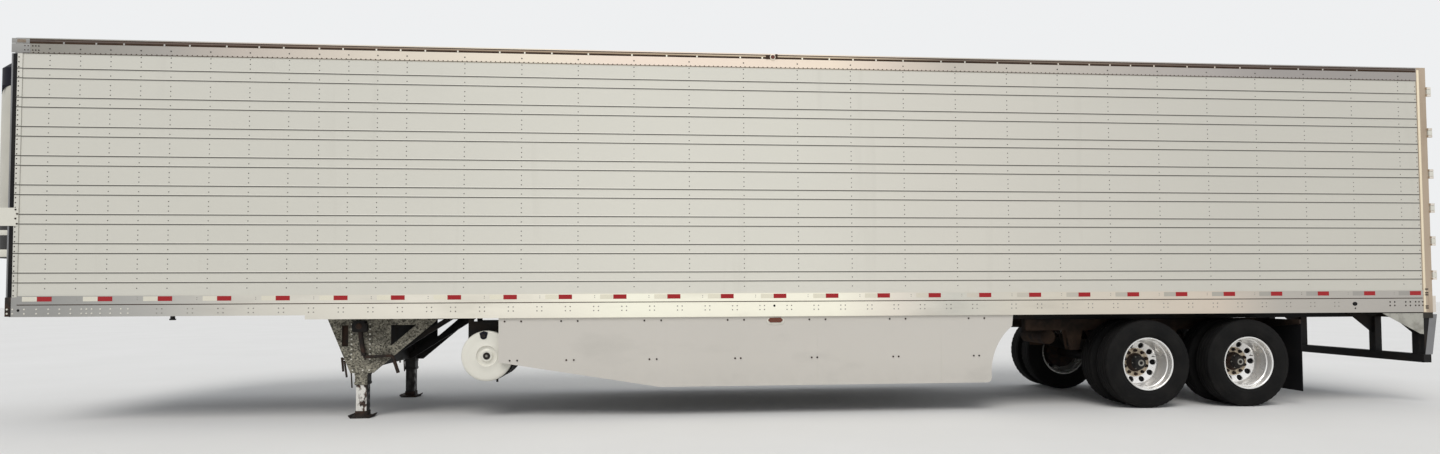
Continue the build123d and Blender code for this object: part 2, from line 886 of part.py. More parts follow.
with BuildPart() as amber_lights:
    with BuildSketch(Plane.XZ.offset(half_width)):
        with Locations((nose + box_length / 2 + side_lamp_shift, box_height - side_lamp_drop)):
            flatted(side_lamp_radius, lamp_flats)
    extrude(amount=lamp_stand)
    with BuildSketch(Plane.XZ.offset(half_width - skirt_inset)) as skirt_lamp:
        with Locations((nose + box_length / 2 + skirt_lamp_shift, rail_bottom - skirt_lamp_drop)):
            Rectangle(skirt_lamp_length, skirt_lamp_height)
        chamfer(skirt_lamp.vertices(), length=skirt_lamp_corner)
    extrude(amount=lamp_stand)
    with Locations((nose - lamp_stand / 2, -nose_lamp_out, box_height - nose_lamp_drop)):
        Box(lamp_stand, amber_length, amber_height)
    mirror(about=Plane.XZ)
save(amber_lights, "amber_lights")

# Bogie frame: side rails, cross tubes, hangers and mud flap arms
bogie_top = slide_rail_base - bogie_gap
bogie_low = bogie_top - bogie_rail_depth
bogie_x = nose + bogie_front
axle_stations = (axle_station, axle_station + axle_spread)
with BuildPart() as bogie_frame:
    with Locations((bogie_x + bogie_length / 2, -arm_out, bogie_top - bogie_rail_depth / 2)):
        Box(bogie_length, bogie_rail_width, bogie_rail_depth)
    for station in axle_stations:
        pivot_x = nose + station - hanger_offset
        with Locations((pivot_x, 0, bogie_top - bogie_rail_depth / 2)):
            Box(bogie_cross, 2 * arm_out, bogie_rail_depth - 20)
        for cheek in (-1, 1):
            middle = arm_out + cheek * (arm_width / 2 + 8)
            with BuildSketch(Plane.XZ.offset(middle - 5)):
                Polygon(
                    (pivot_x - hanger_length / 2, bogie_low),
                    (pivot_x - 60, hanger_base),
                    (pivot_x + 60, hanger_base),
                    (pivot_x + hanger_length / 2, bogie_low),
                    align=None,
                )
            extrude(amount=10)
        with BuildSketch(Plane.XZ.offset(arm_out)):
            with Locations((pivot_x, hanger_pivot_height)):
                flatted(pivot_radius, pin_flats)
        extrude(amount=arm_width / 2 + pivot_overrun, both=True)
    with Locations((bogie_x + bogie_length - bogie_cross / 2, 0, bogie_top - bogie_rail_depth / 2)):
        Box(bogie_cross, 2 * arm_out, bogie_rail_depth - 20)
    flap_out = half_width - flap_inset
    with BuildSketch(Plane.YZ.offset(bogie_x + bogie_length - 20)):
        Polygon(
            (-arm_out, bogie_top),
            (-arm_out, bogie_low),
            (-flap_out, bogie_top - 50),
            (-flap_out, bogie_top),
            align=None,
        )
    extrude(amount=20)
    mirror(about=Plane.XZ)
save(bogie_frame, "bogie_frame")

# Trailing arms, from the hanger pivots over the axles to the air springs
arm_seat = hub_height + axle_radius
spring_base = arm_seat + spring_seat_rise
with BuildPart() as trailing_arms:
    for station in axle_stations:
        axle_x = nose + station
        with BuildSketch(Plane.XZ.offset(arm_out)):
            Polygon(
                (axle_x - hanger_offset - 50, hanger_pivot_height - 50),
                (axle_x - hanger_offset - 50, hanger_pivot_height + 50),
                (axle_x - hanger_offset + 60, hanger_pivot_height + 50),
                (axle_x + 90, arm_seat + arm_depth),
                (axle_x + spring_offset - 100, spring_base),
                (axle_x + spring_offset + 100, spring_base),
                (axle_x + spring_offset + 100, spring_base - arm_end_depth),
                (axle_x + 90, arm_seat - 20),
                (axle_x - 90, arm_seat),
                align=None,
            )
            with Locations((axle_x, hub_height)):
                flatted(axle_radius, hub_flats, Mode.SUBTRACT)
            with Locations((axle_x - hanger_offset, hanger_pivot_height)):
                flatted(pivot_radius, pin_flats, Mode.SUBTRACT)
        extrude(amount=arm_width / 2, both=True)
    mirror(about=Plane.XZ)
save(trailing_arms, "trailing_arms")

# Air springs: two lobes between arm and frame, drawn in where they meet
spring_top = bogie_low
lobe_height = (spring_top - spring_base) / 2
with BuildPart() as spring_lobe:
    with BuildSketch():
        flatted(spring_radius, spring_flats)
    extrude(amount=lobe_height)
    chamfer(spring_lobe.faces().filter_by(Axis.Z).edges(), length=spring_waist)
with BuildPart() as air_springs:
    for station in axle_stations:
        for number in (0, 1):
            with Locations((nose + station + spring_offset, -arm_out, spring_base + number * lobe_height)):
                add(spring_lobe.part)
    mirror(about=Plane.XZ)
save(air_springs, "air_springs")

# Axles with their spindles
tyre_centre = half_width - tyre_inset - tyre_width / 2
inner_centre = tyre_centre - dual_spacing
mount_face = (tyre_centre + inner_centre) / 2
drum_face = mount_face - disc_thick / 2
spindle_out = mount_face + 60
axle_end = drum_face - drum_width - axle_clear
with BuildPart() as axles:
    for station in axle_stations:
        with BuildSketch(Plane.XZ):
            with Locations((nose + station, hub_height)):
                flatted(axle_radius, hub_flats)
        extrude(amount=axle_end, both=True)
        with BuildSketch(Plane.XZ):
            with Locations((nose + station, hub_height)):
                RegularPolygon(spindle_radius, hub_flats)
        extrude(amount=spindle_out, both=True)
save(axles, "axles")

# Brake chambers in front of the axles
chamber_out = 330
with BuildPart() as brake_chambers:
    for station in axle_stations:
        with BuildSketch(Plane.YZ.offset(nose + station - chamber_lead - chamber_length / 2)):
            with Locations((-chamber_out, hub_height + chamber_lift)):
                flatted(chamber_radius, hub_flats)
        extrude(amount=chamber_length)
        with Locations((nose + station, -chamber_out, hub_height + axle_radius + 10)):
            Box(40, 50, 60)
        with BuildSketch(Plane.XZ.offset(chamber_out)):
            with Locations((nose + station, hub_height)):
                flatted(axle_radius, hub_flats)
        extrude(amount=30, both=True, mode=Mode.SUBTRACT)
    mirror(about=Plane.XZ)
save(brake_chambers, "brake_chambers")

# Air tank at the front of the bogie
with BuildPart() as air_tank:
    with BuildSketch(Plane.XZ.offset(air_tank_length / 2)):
        with Locations((nose + air_tank_station, air_tank_height)):
            flatted(air_tank_radius, hub_flats)
    extrude(amount=-air_tank_length)
    for end in air_tank.faces().filter_by(Axis.Y):
        chamfer(end.outer_wire().edges(), length=air_tank_edge)
    with Locations((nose + air_tank_station, 0, (air_tank_height + bogie_low) / 2 + 40)):
        Box(50, 500, bogie_low - air_tank_height - 80)
save(air_tank, "air_tank")

# Mud flaps behind the tandem
with BuildPart() as mud_flaps:
    flap_middle = -flap_out + flap_width / 2
    with Locations((bogie_x + bogie_length + flap_thick / 2, flap_middle, (flap_base + flap_top) / 2)):
        Box(flap_thick, flap_width, flap_top - flap_base)
    mirror(about=Plane.XZ)
save(mud_flaps, "mud_flaps")

# Wheels: a twin pair on each spindle, turning as one
wheel_places = (
    # name, station, side
    ("front_left", axle_station, -1),
    ("front_right", axle_station, 1),
    ("rear_left", axle_station + axle_spread, -1),
    ("rear_right", axle_station + axle_spread, 1),
)
for place, station, side in wheel_places:
    axle_x = nose + station
    with BuildPart() as tyres:
        for centre in (tyre_centre, inner_centre):
            with BuildSketch(Plane.XZ.offset(-side * centre)):
                with Locations((axle_x, hub_height)):
                    flatted(tyre_radius, tyre_flats)
                    flatted(rim_radius, tyre_flats, Mode.SUBTRACT)
            extrude(amount=tyre_width / 2, both=True)
        for wall in tyres.faces().filter_by(Axis.Y):
            chamfer(wall.outer_wire().edges(), length=belly_drop, length2=shoulder_width, reference=wall)
    save(tyres, f"tyres_{place}")

    rim_outer = tyre_centre + tyre_width / 2 - 22
    rim_inner = inner_centre - tyre_width / 2 + 22
    with BuildPart() as rims:
        with BuildSketch(Plane.XZ.offset(-side * rim_inner)):
            with Locations((axle_x, hub_height)):
                flatted(rim_radius, tyre_flats)
                flatted(rim_radius - rim_wall, tyre_flats, Mode.SUBTRACT)
        extrude(amount=-side * (rim_outer - rim_inner))
        with BuildSketch(Plane.XZ.offset(-side * mount_face)):
            with Locations((axle_x, hub_height)):
                flatted(rim_radius - rim_wall, tyre_flats)
                flatted(disc_bore, hub_flats, Mode.SUBTRACT)
                with PolarLocations(hand_hole_circle, hand_hole_count):
                    RegularPolygon(hand_hole_radius, hand_hole_flats, mode=Mode.SUBTRACT)
        extrude(amount=disc_thick / 2, both=True)
    save(rims, f"rims_{place}")

    hub_steps = (
        # radius, from, to: drum, flange, nave and cap
        (drum_radius, drum_face - drum_width, drum_face),
        (disc_bore, drum_face, mount_face + flange_reach),
        (nave_radius, mount_face + flange_reach, mount_face + nave_reach),
        (hub_cap_radius, mount_face + nave_reach, mount_face + hub_reach),
    )
    with BuildPart() as hub:
        for radius, start, end in hub_steps:
            with BuildSketch(Plane.XZ.offset(-side * start)):
                with Locations((axle_x, hub_height)):
                    flatted(radius, hub_flats)
            extrude(amount=-side * (end - start))
        with BuildSketch(Plane.XZ.offset(-side * (drum_face - drum_width))):
            with Locations((axle_x, hub_height)):
                flatted(spindle_radius + spindle_fit, hub_flats)
        bore_length = spindle_out + axle_clear - drum_face + drum_width
        extrude(amount=-side * bore_length, mode=Mode.SUBTRACT)
    save(hub, f"hub_{place}")

# Rear doors, bevelled where they meet
for label, side in (("left", -1), ("right", 1)):
    with BuildPart() as door:
        with BuildSketch(Plane.XY.offset(door_base)):
            Polygon(
                (door_face, side * (opening_half - door_gap)),
                (door_inner, side * (opening_half - door_gap)),
                (door_inner, side * (door_meeting / 2 + door_bevel)),
                (door_face, side * door_meeting / 2),
                align=None,
            )
        extrude(amount=door_top - door_base)
    save(door, f"door_{label}")

    with BuildPart() as door_gear:
        # Hinge straps with their knuckles and pins
        for height in hinge_heights:
            with BuildSketch(Plane.XY.offset(height - strap_height / 2)):
                with Locations((hinge_x, side * hinge_y)):
                    RegularPolygon(knuckle_radius, pin_flats)
                Polygon(
                    (hinge_x, side * (hinge_y + knuckle_radius)),
                    (door_face, side * (hinge_y + knuckle_radius)),
                    (door_face, side * (hinge_y - strap_length)),
                    (door_face + strap_thick, side * (hinge_y - strap_length)),
                    (door_face + strap_thick, side * (hinge_y - knuckle_radius)),
                    (hinge_x, side * (hinge_y - knuckle_radius)),
                    align=None,
                )
            extrude(amount=strap_height)
            with BuildSketch(Plane.XY.offset(height)):
                with Locations((hinge_x, side * hinge_y)):
                    RegularPolygon(pin_radius, pin_flats)
            extrude(amount=strap_height / 2 + lug_gap + lug_height, both=True)
        # Lock rods with cams, guides and a handle
        for offset_in, handle_at, way in lock_rods:
            rod_y = side * (opening_half - offset_in)
            rod_x = door_face + rod_stand
            with BuildSketch(Plane.XY.offset(door_base - rod_overrun)):
                with Locations((rod_x, rod_y)):
                    flatted(rod_radius, pin_flats)
            extrude(amount=door_top - door_base + 2 * rod_overrun)
            for height in rod_guide_heights:
                with Locations((door_face + rod_stand / 2, rod_y, height)):
                    Box(rod_stand, 80, 40)
            with Locations((rod_x, rod_y + side * way * handle_length / 2, handle_at)):
                Box(12, handle_length, 30)
    save(door_gear, f"door_gear_{label}")
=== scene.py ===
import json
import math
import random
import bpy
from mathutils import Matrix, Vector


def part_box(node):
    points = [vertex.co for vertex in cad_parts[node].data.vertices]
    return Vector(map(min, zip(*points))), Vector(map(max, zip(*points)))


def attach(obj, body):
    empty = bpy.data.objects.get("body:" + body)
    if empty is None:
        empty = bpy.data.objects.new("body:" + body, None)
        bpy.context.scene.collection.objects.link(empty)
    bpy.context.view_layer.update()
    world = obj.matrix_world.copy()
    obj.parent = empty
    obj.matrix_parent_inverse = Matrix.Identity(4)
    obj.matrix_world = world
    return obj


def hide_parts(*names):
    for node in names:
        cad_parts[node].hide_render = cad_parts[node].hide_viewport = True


bl_info = {
    "name": "Refrigerated Van Semi Trailer",
    "version": (1, 0, 0),
    "blender": (4, 5, 0),
    "location": "View3D > Sidebar > Trailer",
    "description": "Dresses the packed trailer with its finishes, rivets, tape, wheels and small gear",
    "category": "Object",
}

import bmesh
import bpy
from bpy.props import FloatProperty, FloatVectorProperty, IntProperty, PointerProperty
from mathutils import Euler, Matrix, Vector

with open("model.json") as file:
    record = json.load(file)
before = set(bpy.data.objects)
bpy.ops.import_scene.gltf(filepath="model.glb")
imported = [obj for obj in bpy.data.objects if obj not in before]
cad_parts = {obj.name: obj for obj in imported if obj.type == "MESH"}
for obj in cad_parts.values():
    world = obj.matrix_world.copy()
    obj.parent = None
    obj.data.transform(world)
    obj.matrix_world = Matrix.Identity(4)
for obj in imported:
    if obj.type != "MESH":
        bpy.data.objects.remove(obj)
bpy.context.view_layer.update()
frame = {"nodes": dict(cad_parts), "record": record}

SIDES = (("left", -1), ("right", 1))
WHEEL_PLACES = ("front_left", "front_right", "rear_left", "rear_right")
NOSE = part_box("corner_posts")[0].x
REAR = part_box("dock_bumpers")[0].x
HALF_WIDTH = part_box("corner_posts")[1].y
ROOF_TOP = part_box("corner_posts")[1].z
RAIL_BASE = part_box("bottom_rails")[0].z
RAIL_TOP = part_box("bottom_rails")[1].z
PANEL_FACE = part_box("side_wall_left")[0].y
TOP_RAIL_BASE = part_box("top_rails")[0].z
UNIT_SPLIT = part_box("nose_plates")[1].z
FACING_OUT = {-1: Euler((math.radians(90), 0, 0)), 1: Euler((math.radians(-90), 0, 0))}
FACING_BACK = Euler((0, math.radians(90), 0))
FACING_FORE = Euler((0, math.radians(-90), 0))
RAIL_END = 16.07  # station where the trim of the rails ends
CASTING_TOP = 1.362  # height of the lower nose casting
POST_BASE = 1.115  # height of the rear posts' foot
# colour of the painted shade under the wall beads and of the black below the rear frame's sill
BEAD_SHADE_AND_SILL_BLACK = (0.030, 0.026, 0.020)


def at(station):
    """X of a distance from the box's front face, towards the rear."""
    return NOSE + station


# Sizes and colours that a user would change


def colour_setting(name, text, default):
    """A colour that the sidebar shows."""
    return FloatVectorProperty(name=name, description=text, subtype="COLOR", default=default, min=0, max=1)


def length_setting(name, text, default, low, high):
    """A length in metres that the sidebar shows."""
    return FloatProperty(name=name, description=text, default=default, min=low, max=high, unit="LENGTH")


class TrailerColours(bpy.types.PropertyGroup):
    panel: colour_setting("Panel", "Enamel of the side panels", (0.725, 0.705, 0.628))
    rail: colour_setting("Rail", "Paint of the bottom rails", (1.0, 0.955, 0.80))
    skirt: colour_setting("Skirt", "Sheet of the side skirts", (0.585, 0.555, 0.505))
    tank: colour_setting("Tank", "Paint of the fuel tank", (0.74, 0.72, 0.64))
    frame_tan: colour_setting("Rear frame", "Weathered stainless of the rear frame", (0.50, 0.40, 0.30))
    tape_red: colour_setting("Red tape", "Red length of the marking tape", (0.34, 0.004, 0.008))
    tape_white: colour_setting("White tape", "Faded white length of the marking tape", (0.78, 0.74, 0.60))


class TrailerRivets(bpy.types.PropertyGroup):
    head_radius: length_setting("Head radius", "Radius of a rivet head", 0.0068, 0.001, 0.03)
    head_rise: length_setting("Head rise", "How far a rivet head stands up", 0.0016, 0.0005, 0.01)
    wall_pitch: length_setting("Wall pitch", "Height between rivets in a wall column", 0.0515, 0.01, 0.5)
    close_pitch: length_setting("Close pitch", "Distance between rivets in a close row", 0.0516, 0.01, 0.5)
    beam_pitch: length_setting("Group pitch", "Distance between groups of four on the rail", 0.31, 0.05, 1.0)


class TrailerTape(bpy.types.PropertyGroup):
    first: length_setting("First", "Centre of the first red length, from the front face", 0.368, 0, 3)
    pitch: length_setting("Pitch", "Distance between red lengths", 0.6003, 0.2, 2)
    length: length_setting("Length", "Length of one colour", 0.146, 0.02, 0.5)
    height: length_setting("Height", "Height of the tape", 0.05, 0.01, 0.2)
    middle: length_setting("Middle", "Height of the tape's middle above the ground", 1.343, 1.2, 1.5)
    count: IntProperty(name="Count", description="Red lengths on each side", default=27, min=1, max=60)


class TrailerWheels(bpy.types.PropertyGroup):
    steps: IntProperty(name="Steps", description="Steps round a tyre", default=96, min=24, max=240)
    groove: length_setting("Groove", "Depth of the tread grooves", 0.009, 0.001, 0.02)
    hand_holes: IntProperty(name="Hand holes", description="Holes in a wheel's disc", default=10, min=2,
                            max=20)
    nuts: IntProperty(name="Nuts", description="Wheel nuts", default=10, min=5, max=12)
    nut_circle: length_setting("Nut circle", "Radius of the nuts' circle", 0.1429, 0.05, 0.2)


class TrailerStudio(bpy.types.PropertyGroup):
    eye: FloatVectorProperty(name="Eye", description="Where the camera stands", subtype="XYZ",
                             default=(-1.2006, -10.2324, 1.3767), unit="LENGTH")
    yaw: FloatProperty(name="Yaw", description="Turn towards the rear", default=0.0847, subtype="ANGLE")
    pitch: FloatProperty(name="Pitch", description="Turn upwards", default=0.0329, subtype="ANGLE")
    roll: FloatProperty(name="Roll", description="Turn about the line of sight", default=-0.0041,
                        subtype="ANGLE")
    lens: FloatProperty(name="Lens", description="Focal length in millimetres", default=19.904, min=5,
                        max=200)
    rise: FloatProperty(name="Rise", description="Shift of the picture upwards", default=0.02775)
    sky: FloatProperty(name="Sky", description="Strength of the even light", default=0.62, min=0, max=3)
    sun: FloatProperty(name="Lamp", description="Strength of the soft main lamp", default=1.5, min=0, max=10)


GROUPS = {
    "trailer_colours": TrailerColours,
    "trailer_rivets": TrailerRivets,
    "trailer_tape": TrailerTape,
    "trailer_wheels": TrailerWheels,
    "trailer_studio": TrailerStudio,
}


# Node helpers


def node(tree, kind, **values):
    """Add a node and set its inputs or its own settings by name."""
    made = tree.nodes.new(kind)
    for name, value in values.items():
        label = name.replace("_", " ")
        if label in made.inputs:
            made.inputs[label].default_value = value
        else:
            setattr(made, name, value)
    return made


def noise(tree, where, scale, detail=4.0, stretch=(1, 1, 1), seed=0.0):
    """A noise over Object coordinates, stretched along an axis."""
    mapping = node(tree, "ShaderNodeMapping", Scale=stretch, Location=(seed, seed, seed))
    texture = node(tree, "ShaderNodeTexNoise", Scale=scale, Detail=detail)
    tree.links.new(where, mapping.inputs["Vector"])
    tree.links.new(mapping.outputs["Vector"], texture.inputs["Vector"])
    return texture.outputs["Fac"]


def ranged(tree, value, low, high, to_low=0.0, to_high=1.0):
    """A value brought from one range to another, held within it."""
    made = node(tree, "ShaderNodeMapRange")
    made.inputs["From Min"].default_value = low
    made.inputs["From Max"].default_value = high
    made.inputs["To Min"].default_value = to_low
    made.inputs["To Max"].default_value = to_high
    tree.links.new(value, made.inputs["Value"])
    return made.outputs["Result"]


def maths(tree, first, second, operation="MULTIPLY"):
    """Two values put together by an operation."""
    made = node(tree, "ShaderNodeMath", operation=operation)
    for socket, value in zip(made.inputs, (first, second)):
        if isinstance(value, (int, float)):
            socket.default_value = value
        else:
            tree.links.new(value, socket)
    return made.outputs["Value"]


def tinted(tree, factor, first, second):
    """Two colours mixed by a factor."""
    made = node(tree, "ShaderNodeMix", data_type="RGBA")
    tree.links.new(factor, made.inputs[0])
    for index, colour in ((6, first), (7, second)):
        if isinstance(colour, bpy.types.NodeSocket):
            tree.links.new(colour, made.inputs[index])
        else:
            made.inputs[index].default_value = (*colour[:3], 1.0)
    return made.outputs[2]


def axis_of(tree, vector, axis):
    """One axis of a vector."""
    split = node(tree, "ShaderNodeSeparateXYZ")
    tree.links.new(vector, split.inputs[0])
    return split.outputs[axis]


def along(tree, where, stops):
    """A colour that changes along the trailer, from (station, colour) stops."""
    first, last = at(stops[0][0]), at(stops[-1][0])
    ramp = node(tree, "ShaderNodeValToRGB")
    tree.links.new(ranged(tree, axis_of(tree, where, "X"), first, last), ramp.inputs["Fac"])
    points = ramp.color_ramp.elements
    while len(points) < len(stops):
        points.new(0.5)
    for point, (station, colour) in zip(points, stops):
        point.position = (at(station) - first) / (last - first)
        point.color = (*colour, 1.0)
    return ramp.outputs["Color"]


def shaded(tree, first, second):
    """One colour multiplied by another."""
    made = node(tree, "ShaderNodeMix", data_type="RGBA", blend_type="MULTIPLY")
    made.inputs[0].default_value = 1.0
    tree.links.new(first, made.inputs[6])
    tree.links.new(second, made.inputs[7])
    return made.outputs[2]


def outboard(tree):
    """One on faces that look away from the trailer's middle, nothing on all others, where the finishes paint
    shade.
    """
    place = node(tree, "ShaderNodeNewGeometry")
    facing = axis_of(tree, place.outputs["Normal"], "Y")
    side = axis_of(tree, place.outputs["Position"], "Y")
    return ranged(tree, maths(tree, facing, side), 0.15, 0.5)


def coated(tree, shader, colour, rough):
    """Colour and roughness of a finish."""
    tree.links.new(colour, shader.inputs["Base Color"])
    tree.links.new(rough, shader.inputs["Roughness"])


def new_finish(name, metallic=0.0, **sockets):
    """A material with its tree, its shader and the Object coordinates."""
    material = bpy.data.materials.new(name)
    material.use_nodes = True
    tree = material.node_tree
    shader = tree.nodes["Principled BSDF"]
    shader.inputs["Metallic"].default_value = metallic
    for label, value in sockets.items():
        shader.inputs[label.replace("_", " ")].default_value = value
    where = node(tree, "ShaderNodeTexCoord").outputs["Object"]
    return material, tree, shader, where


def roughen(tree, shader, height, strength, depth):
    """Bump from a height."""
    bump = node(tree, "ShaderNodeBump", Strength=strength, Distance=depth)
    tree.links.new(height, bump.inputs["Height"])
    tree.links.new(bump.outputs["Normal"], shader.inputs["Normal"])


def weathered(name, colour, stain, rough, stain_rough, metallic=0.0, scale=1.4, stretch=(1, 1, 1),
              cover=(0.5, 0.8), dirt=None, grain=(60.0, 0.06, 0.001), tone=0.06, zones=None, dark_bands=None,
              **sockets):
    """Paint or metal with soft tone, stains and road dirt that fades upwards between two heights.

    Cover is the noise at which stains begin and are full, dirt is (low, high, amount), grain is (scale,
    strength, depth) of the bump, zones set the tone along the trailer (a painted sheen on the rails), and
    dark bands darken the paint by place (painted shade under the beads among them).
    """
    material, tree, shader, where = new_finish(name, metallic, **sockets)
    cloud = noise(tree, where, 0.7, 3.0)
    darker = [value * (1 - tone) for value in colour]
    lighter = [min(value * (1 + tone), 1.0) for value in colour]
    base = tinted(tree, cloud, darker, lighter)
    if zones:
        base = shaded(tree, base, along(tree, where, zones))
    if dark_bands:
        base = tinted(tree, dark_bands(tree, where), base, BEAD_SHADE_AND_SILL_BLACK)
    mask = ranged(tree, noise(tree, where, scale, 8.0, stretch, 3.1), *cover)
    if dirt:
        low, high, amount = dirt
        fade = ranged(tree, axis_of(tree, where, "Z"), low, high, amount, 0.0)
        speckle = ranged(tree, noise(tree, where, 9.0, 9.0, seed=7.7), 0.3, 0.7, 0.25, 1.0)
        mask = maths(tree, mask, maths(tree, fade, speckle), "ADD")
        mask = ranged(tree, mask, 0.0, 1.0)
    coated(tree, shader, tinted(tree, mask, base, stain), ranged(tree, mask, 0.0, 1.0, rough, stain_rough))
    grain_scale, grain_strength, grain_depth = grain
    roughen(tree, shader, noise(tree, where, grain_scale, 5.0), grain_strength, grain_depth)
    return material


# Tones and painted sheen along the trailer, from the front face back


WALL_ZONES = (
    # station and tone of the wall enamel
    (0.0, (0.87, 0.87, 0.87)), (3.0, (0.90, 0.90, 0.90)), (6.6, (1.0, 1.0, 1.0)), (8.4, (1.0, 1.0, 1.0)),
    (10.3, (0.93, 0.92, 0.92)), (13.5, (0.835, 0.83, 0.83)), (16.2, (0.82, 0.815, 0.81)),
)
RAIL_SHEEN_ZONES = (
    # station and painted sheen of the bottom rails
    (0.4, (0.31, 0.313, 0.355)), (1.5, (0.46, 0.46, 0.51)), (2.3, (0.64, 0.63, 0.67)),
    (3.9, (0.82, 0.80, 0.83)), (5.6, (0.91, 0.89, 0.91)), (6.4, (1.0, 1.0, 1.0)), (8.8, (1.0, 0.99, 0.99)),
    (9.5, (0.82, 0.78, 0.81)), (10.2, (0.63, 0.63, 0.67)), (11.1, (0.69, 0.66, 0.67)),
    (13.4, (0.67, 0.60, 0.595)), (14.2, (0.49, 0.47, 0.50)), (16.2, (0.43, 0.42, 0.46)),
)
TOP_SHEEN_ZONES = (
    # station and painted sheen of the top rails
    (0.4, (0.292, 0.323, 0.34)), (1.5, (0.407, 0.447, 0.491)), (2.3, (0.597, 0.619, 0.655)),
    (3.9, (0.816, 0.855, 0.868)), (5.5, (0.942, 0.987, 0.979)), (6.4, (0.99, 0.976, 1.0)),
    (8.8, (1.0, 1.0, 0.985)), (9.5, (0.814, 0.817, 0.839)), (10.2, (0.60, 0.643, 0.675)),
    (11.1, (0.614, 0.663, 0.706)), (13.4, (0.452, 0.489, 0.553)), (14.2, (0.377, 0.408, 0.464)),
    (16.2, (0.36, 0.39, 0.445)),
)
STRIP_SHEEN_ZONES = (
    # station and painted sheen of the strip between the dark bands
    (0.4, (0.12, 0.10, 0.11)), (2.3, (0.21, 0.17, 0.18)), (3.9, (0.45, 0.41, 0.41)),
    (6.3, (0.69, 0.63, 0.59)), (7.6, (1.0, 1.0, 1.0)), (8.9, (1.0, 1.0, 1.0)), (9.6, (0.65, 0.64, 0.66)),
    (10.2, (0.21, 0.19, 0.20)), (11.9, (0.31, 0.28, 0.29)), (13.4, (0.18, 0.15, 0.16)),
    (16.2, (0.17, 0.15, 0.17)),
)
TAPE_ZONES = (
    # station and tone of the pale tape, darker towards the rear
    (0.2, (0.88, 0.89, 0.94)), (2.3, (0.90, 0.90, 0.93)), (3.9, (1.0, 1.0, 1.0)), (8.8, (1.0, 1.0, 1.0)),
    (10.3, (0.78, 0.76, 0.80)), (12.7, (0.56, 0.56, 0.60)), (14.8, (0.43, 0.43, 0.49)),
    (16.2, (0.41, 0.41, 0.47)),
)
LUG_ZONES = (
    # station and tone of the rear frame, whose hinge lugs are painted pale
    (REAR - at(0) + 0.004, (1.0, 1.0, 1.0)), (REAR - at(0) + 0.010, (1.65, 1.90, 2.25)),
)


def bead_shade_lines(tree, where):
    """Painted shade along the underside of every pressed bead."""
    beads = bead_heights()
    pitch = (beads[-1] - beads[1]) / (len(beads) / 2 - 1)
    height = axis_of(tree, where, "Z")
    gaps = []
    for base in beads[:2]:
        shifted = maths(tree, height, pitch / 2 - base + pitch, "ADD")
        within = maths(tree, maths(tree, shifted, pitch, "MODULO"), pitch / 2, "SUBTRACT")
        gaps.append(maths(tree, within, 0, "ABSOLUTE"))
    line = ranged(tree, maths(tree, *gaps, "MINIMUM"), 0.0030, 0.0080, 0.97, 0.0)
    inside = ranged(tree, height, beads[0] - 0.03, beads[0] - 0.02)
    return maths(tree, line, inside)


def under_sill(tree, where):
    """Black on the rear frame below the rails' lower edge."""
    return ranged(tree, axis_of(tree, where, "Z"), RAIL_BASE - 0.006, RAIL_BASE - 0.002, 1.0, 0.0)


# Finishes, one function each


def panel_enamel(colours):
    """Cream enamel on sheet that is never quite flat, with faint rain streaks and painted shade under the
    beads.
    """
    return weathered("panel_enamel", colours.panel, (0.46, 0.44, 0.38), 0.34, 0.55, scale=2.2,
                     stretch=(2.2, 2.2, 0.12), cover=(0.62, 1.5), dirt=(1.3, 1.75, 0.10),
                     grain=(1.1, 0.35, 0.02), tone=0.02, zones=WALL_ZONES, dark_bands=bead_shade_lines)


def unit_enamel(colours):
    """Enamel of the cooling unit, greyed as painted shade, over its black base."""
    material, tree, shader, where = new_finish("unit_enamel")
    wear = noise(tree, where, 3.0, 6.0)
    # the upper enamel is greyed as painted shade
    pale = tinted(tree, wear, (0.44, 0.425, 0.37), (0.60, 0.58, 0.51))
    dark = tinted(tree, wear, (0.008, 0.008, 0.008), (0.03, 0.028, 0.026))
    upper = ranged(tree, axis_of(tree, where, "Z"), UNIT_SPLIT, UNIT_SPLIT + 0.003)
    coated(tree, shader, tinted(tree, upper, dark, pale), ranged(tree, wear, 0.3, 0.7, 0.38, 0.55))
    roughen(tree, shader, noise(tree, where, 2.0, 3.0), 0.2, 0.01)
    return material


def white_enamel(colours):
    """Plain cream enamel of the small plates."""
    return weathered("white_enamel", (0.70, 0.68, 0.60), (0.42, 0.40, 0.34), 0.36, 0.55, scale=3.0,
                     cover=(0.6, 1.4), grain=(2.0, 0.3, 0.01), tone=0.03)


def roof_sheet(colours):
    """Dull sheet of the roof."""
    return weathered("roof_sheet", (0.58, 0.58, 0.56), (0.30, 0.28, 0.24), 0.68, 0.85, metallic=0.1,
                     scale=1.2, stretch=(1, 0.3, 1), cover=(0.45, 1.1), grain=(2.0, 0.3, 0.02))


def rail_enamel(colours):
    """Bright bottom rails with a painted sheen, brightest at mid length and grey towards both ends."""
    return weathered("rail_enamel", colours.rail, (0.36, 0.33, 0.28), 0.42, 0.7, scale=1.6,
                     stretch=(0.5, 1, 2.2), cover=(0.55, 1.2), dirt=(1.10, 1.20, 0.10), tone=0.04,
                     zones=RAIL_SHEEN_ZONES)


def top_metal(colours):
    """Bare face of the top rails, with a painted sheen along their length."""
    return weathered("top_metal", (0.95, 0.81, 0.67), (0.34, 0.30, 0.26), 0.42, 0.65, scale=1.8,
                     stretch=(0.35, 1, 1.6), cover=(0.6, 1.4), tone=0.05, zones=TOP_SHEEN_ZONES)


def strip_metal(colours):
    """Thin strip between the dark bands of the top rails, with a painted sheen along their length."""
    return weathered("strip_metal", (0.60, 0.48, 0.34), (0.20, 0.16, 0.12), 0.45, 0.7, scale=4.0,
                     cover=(0.6, 1.2), tone=0.1, zones=STRIP_SHEEN_ZONES)


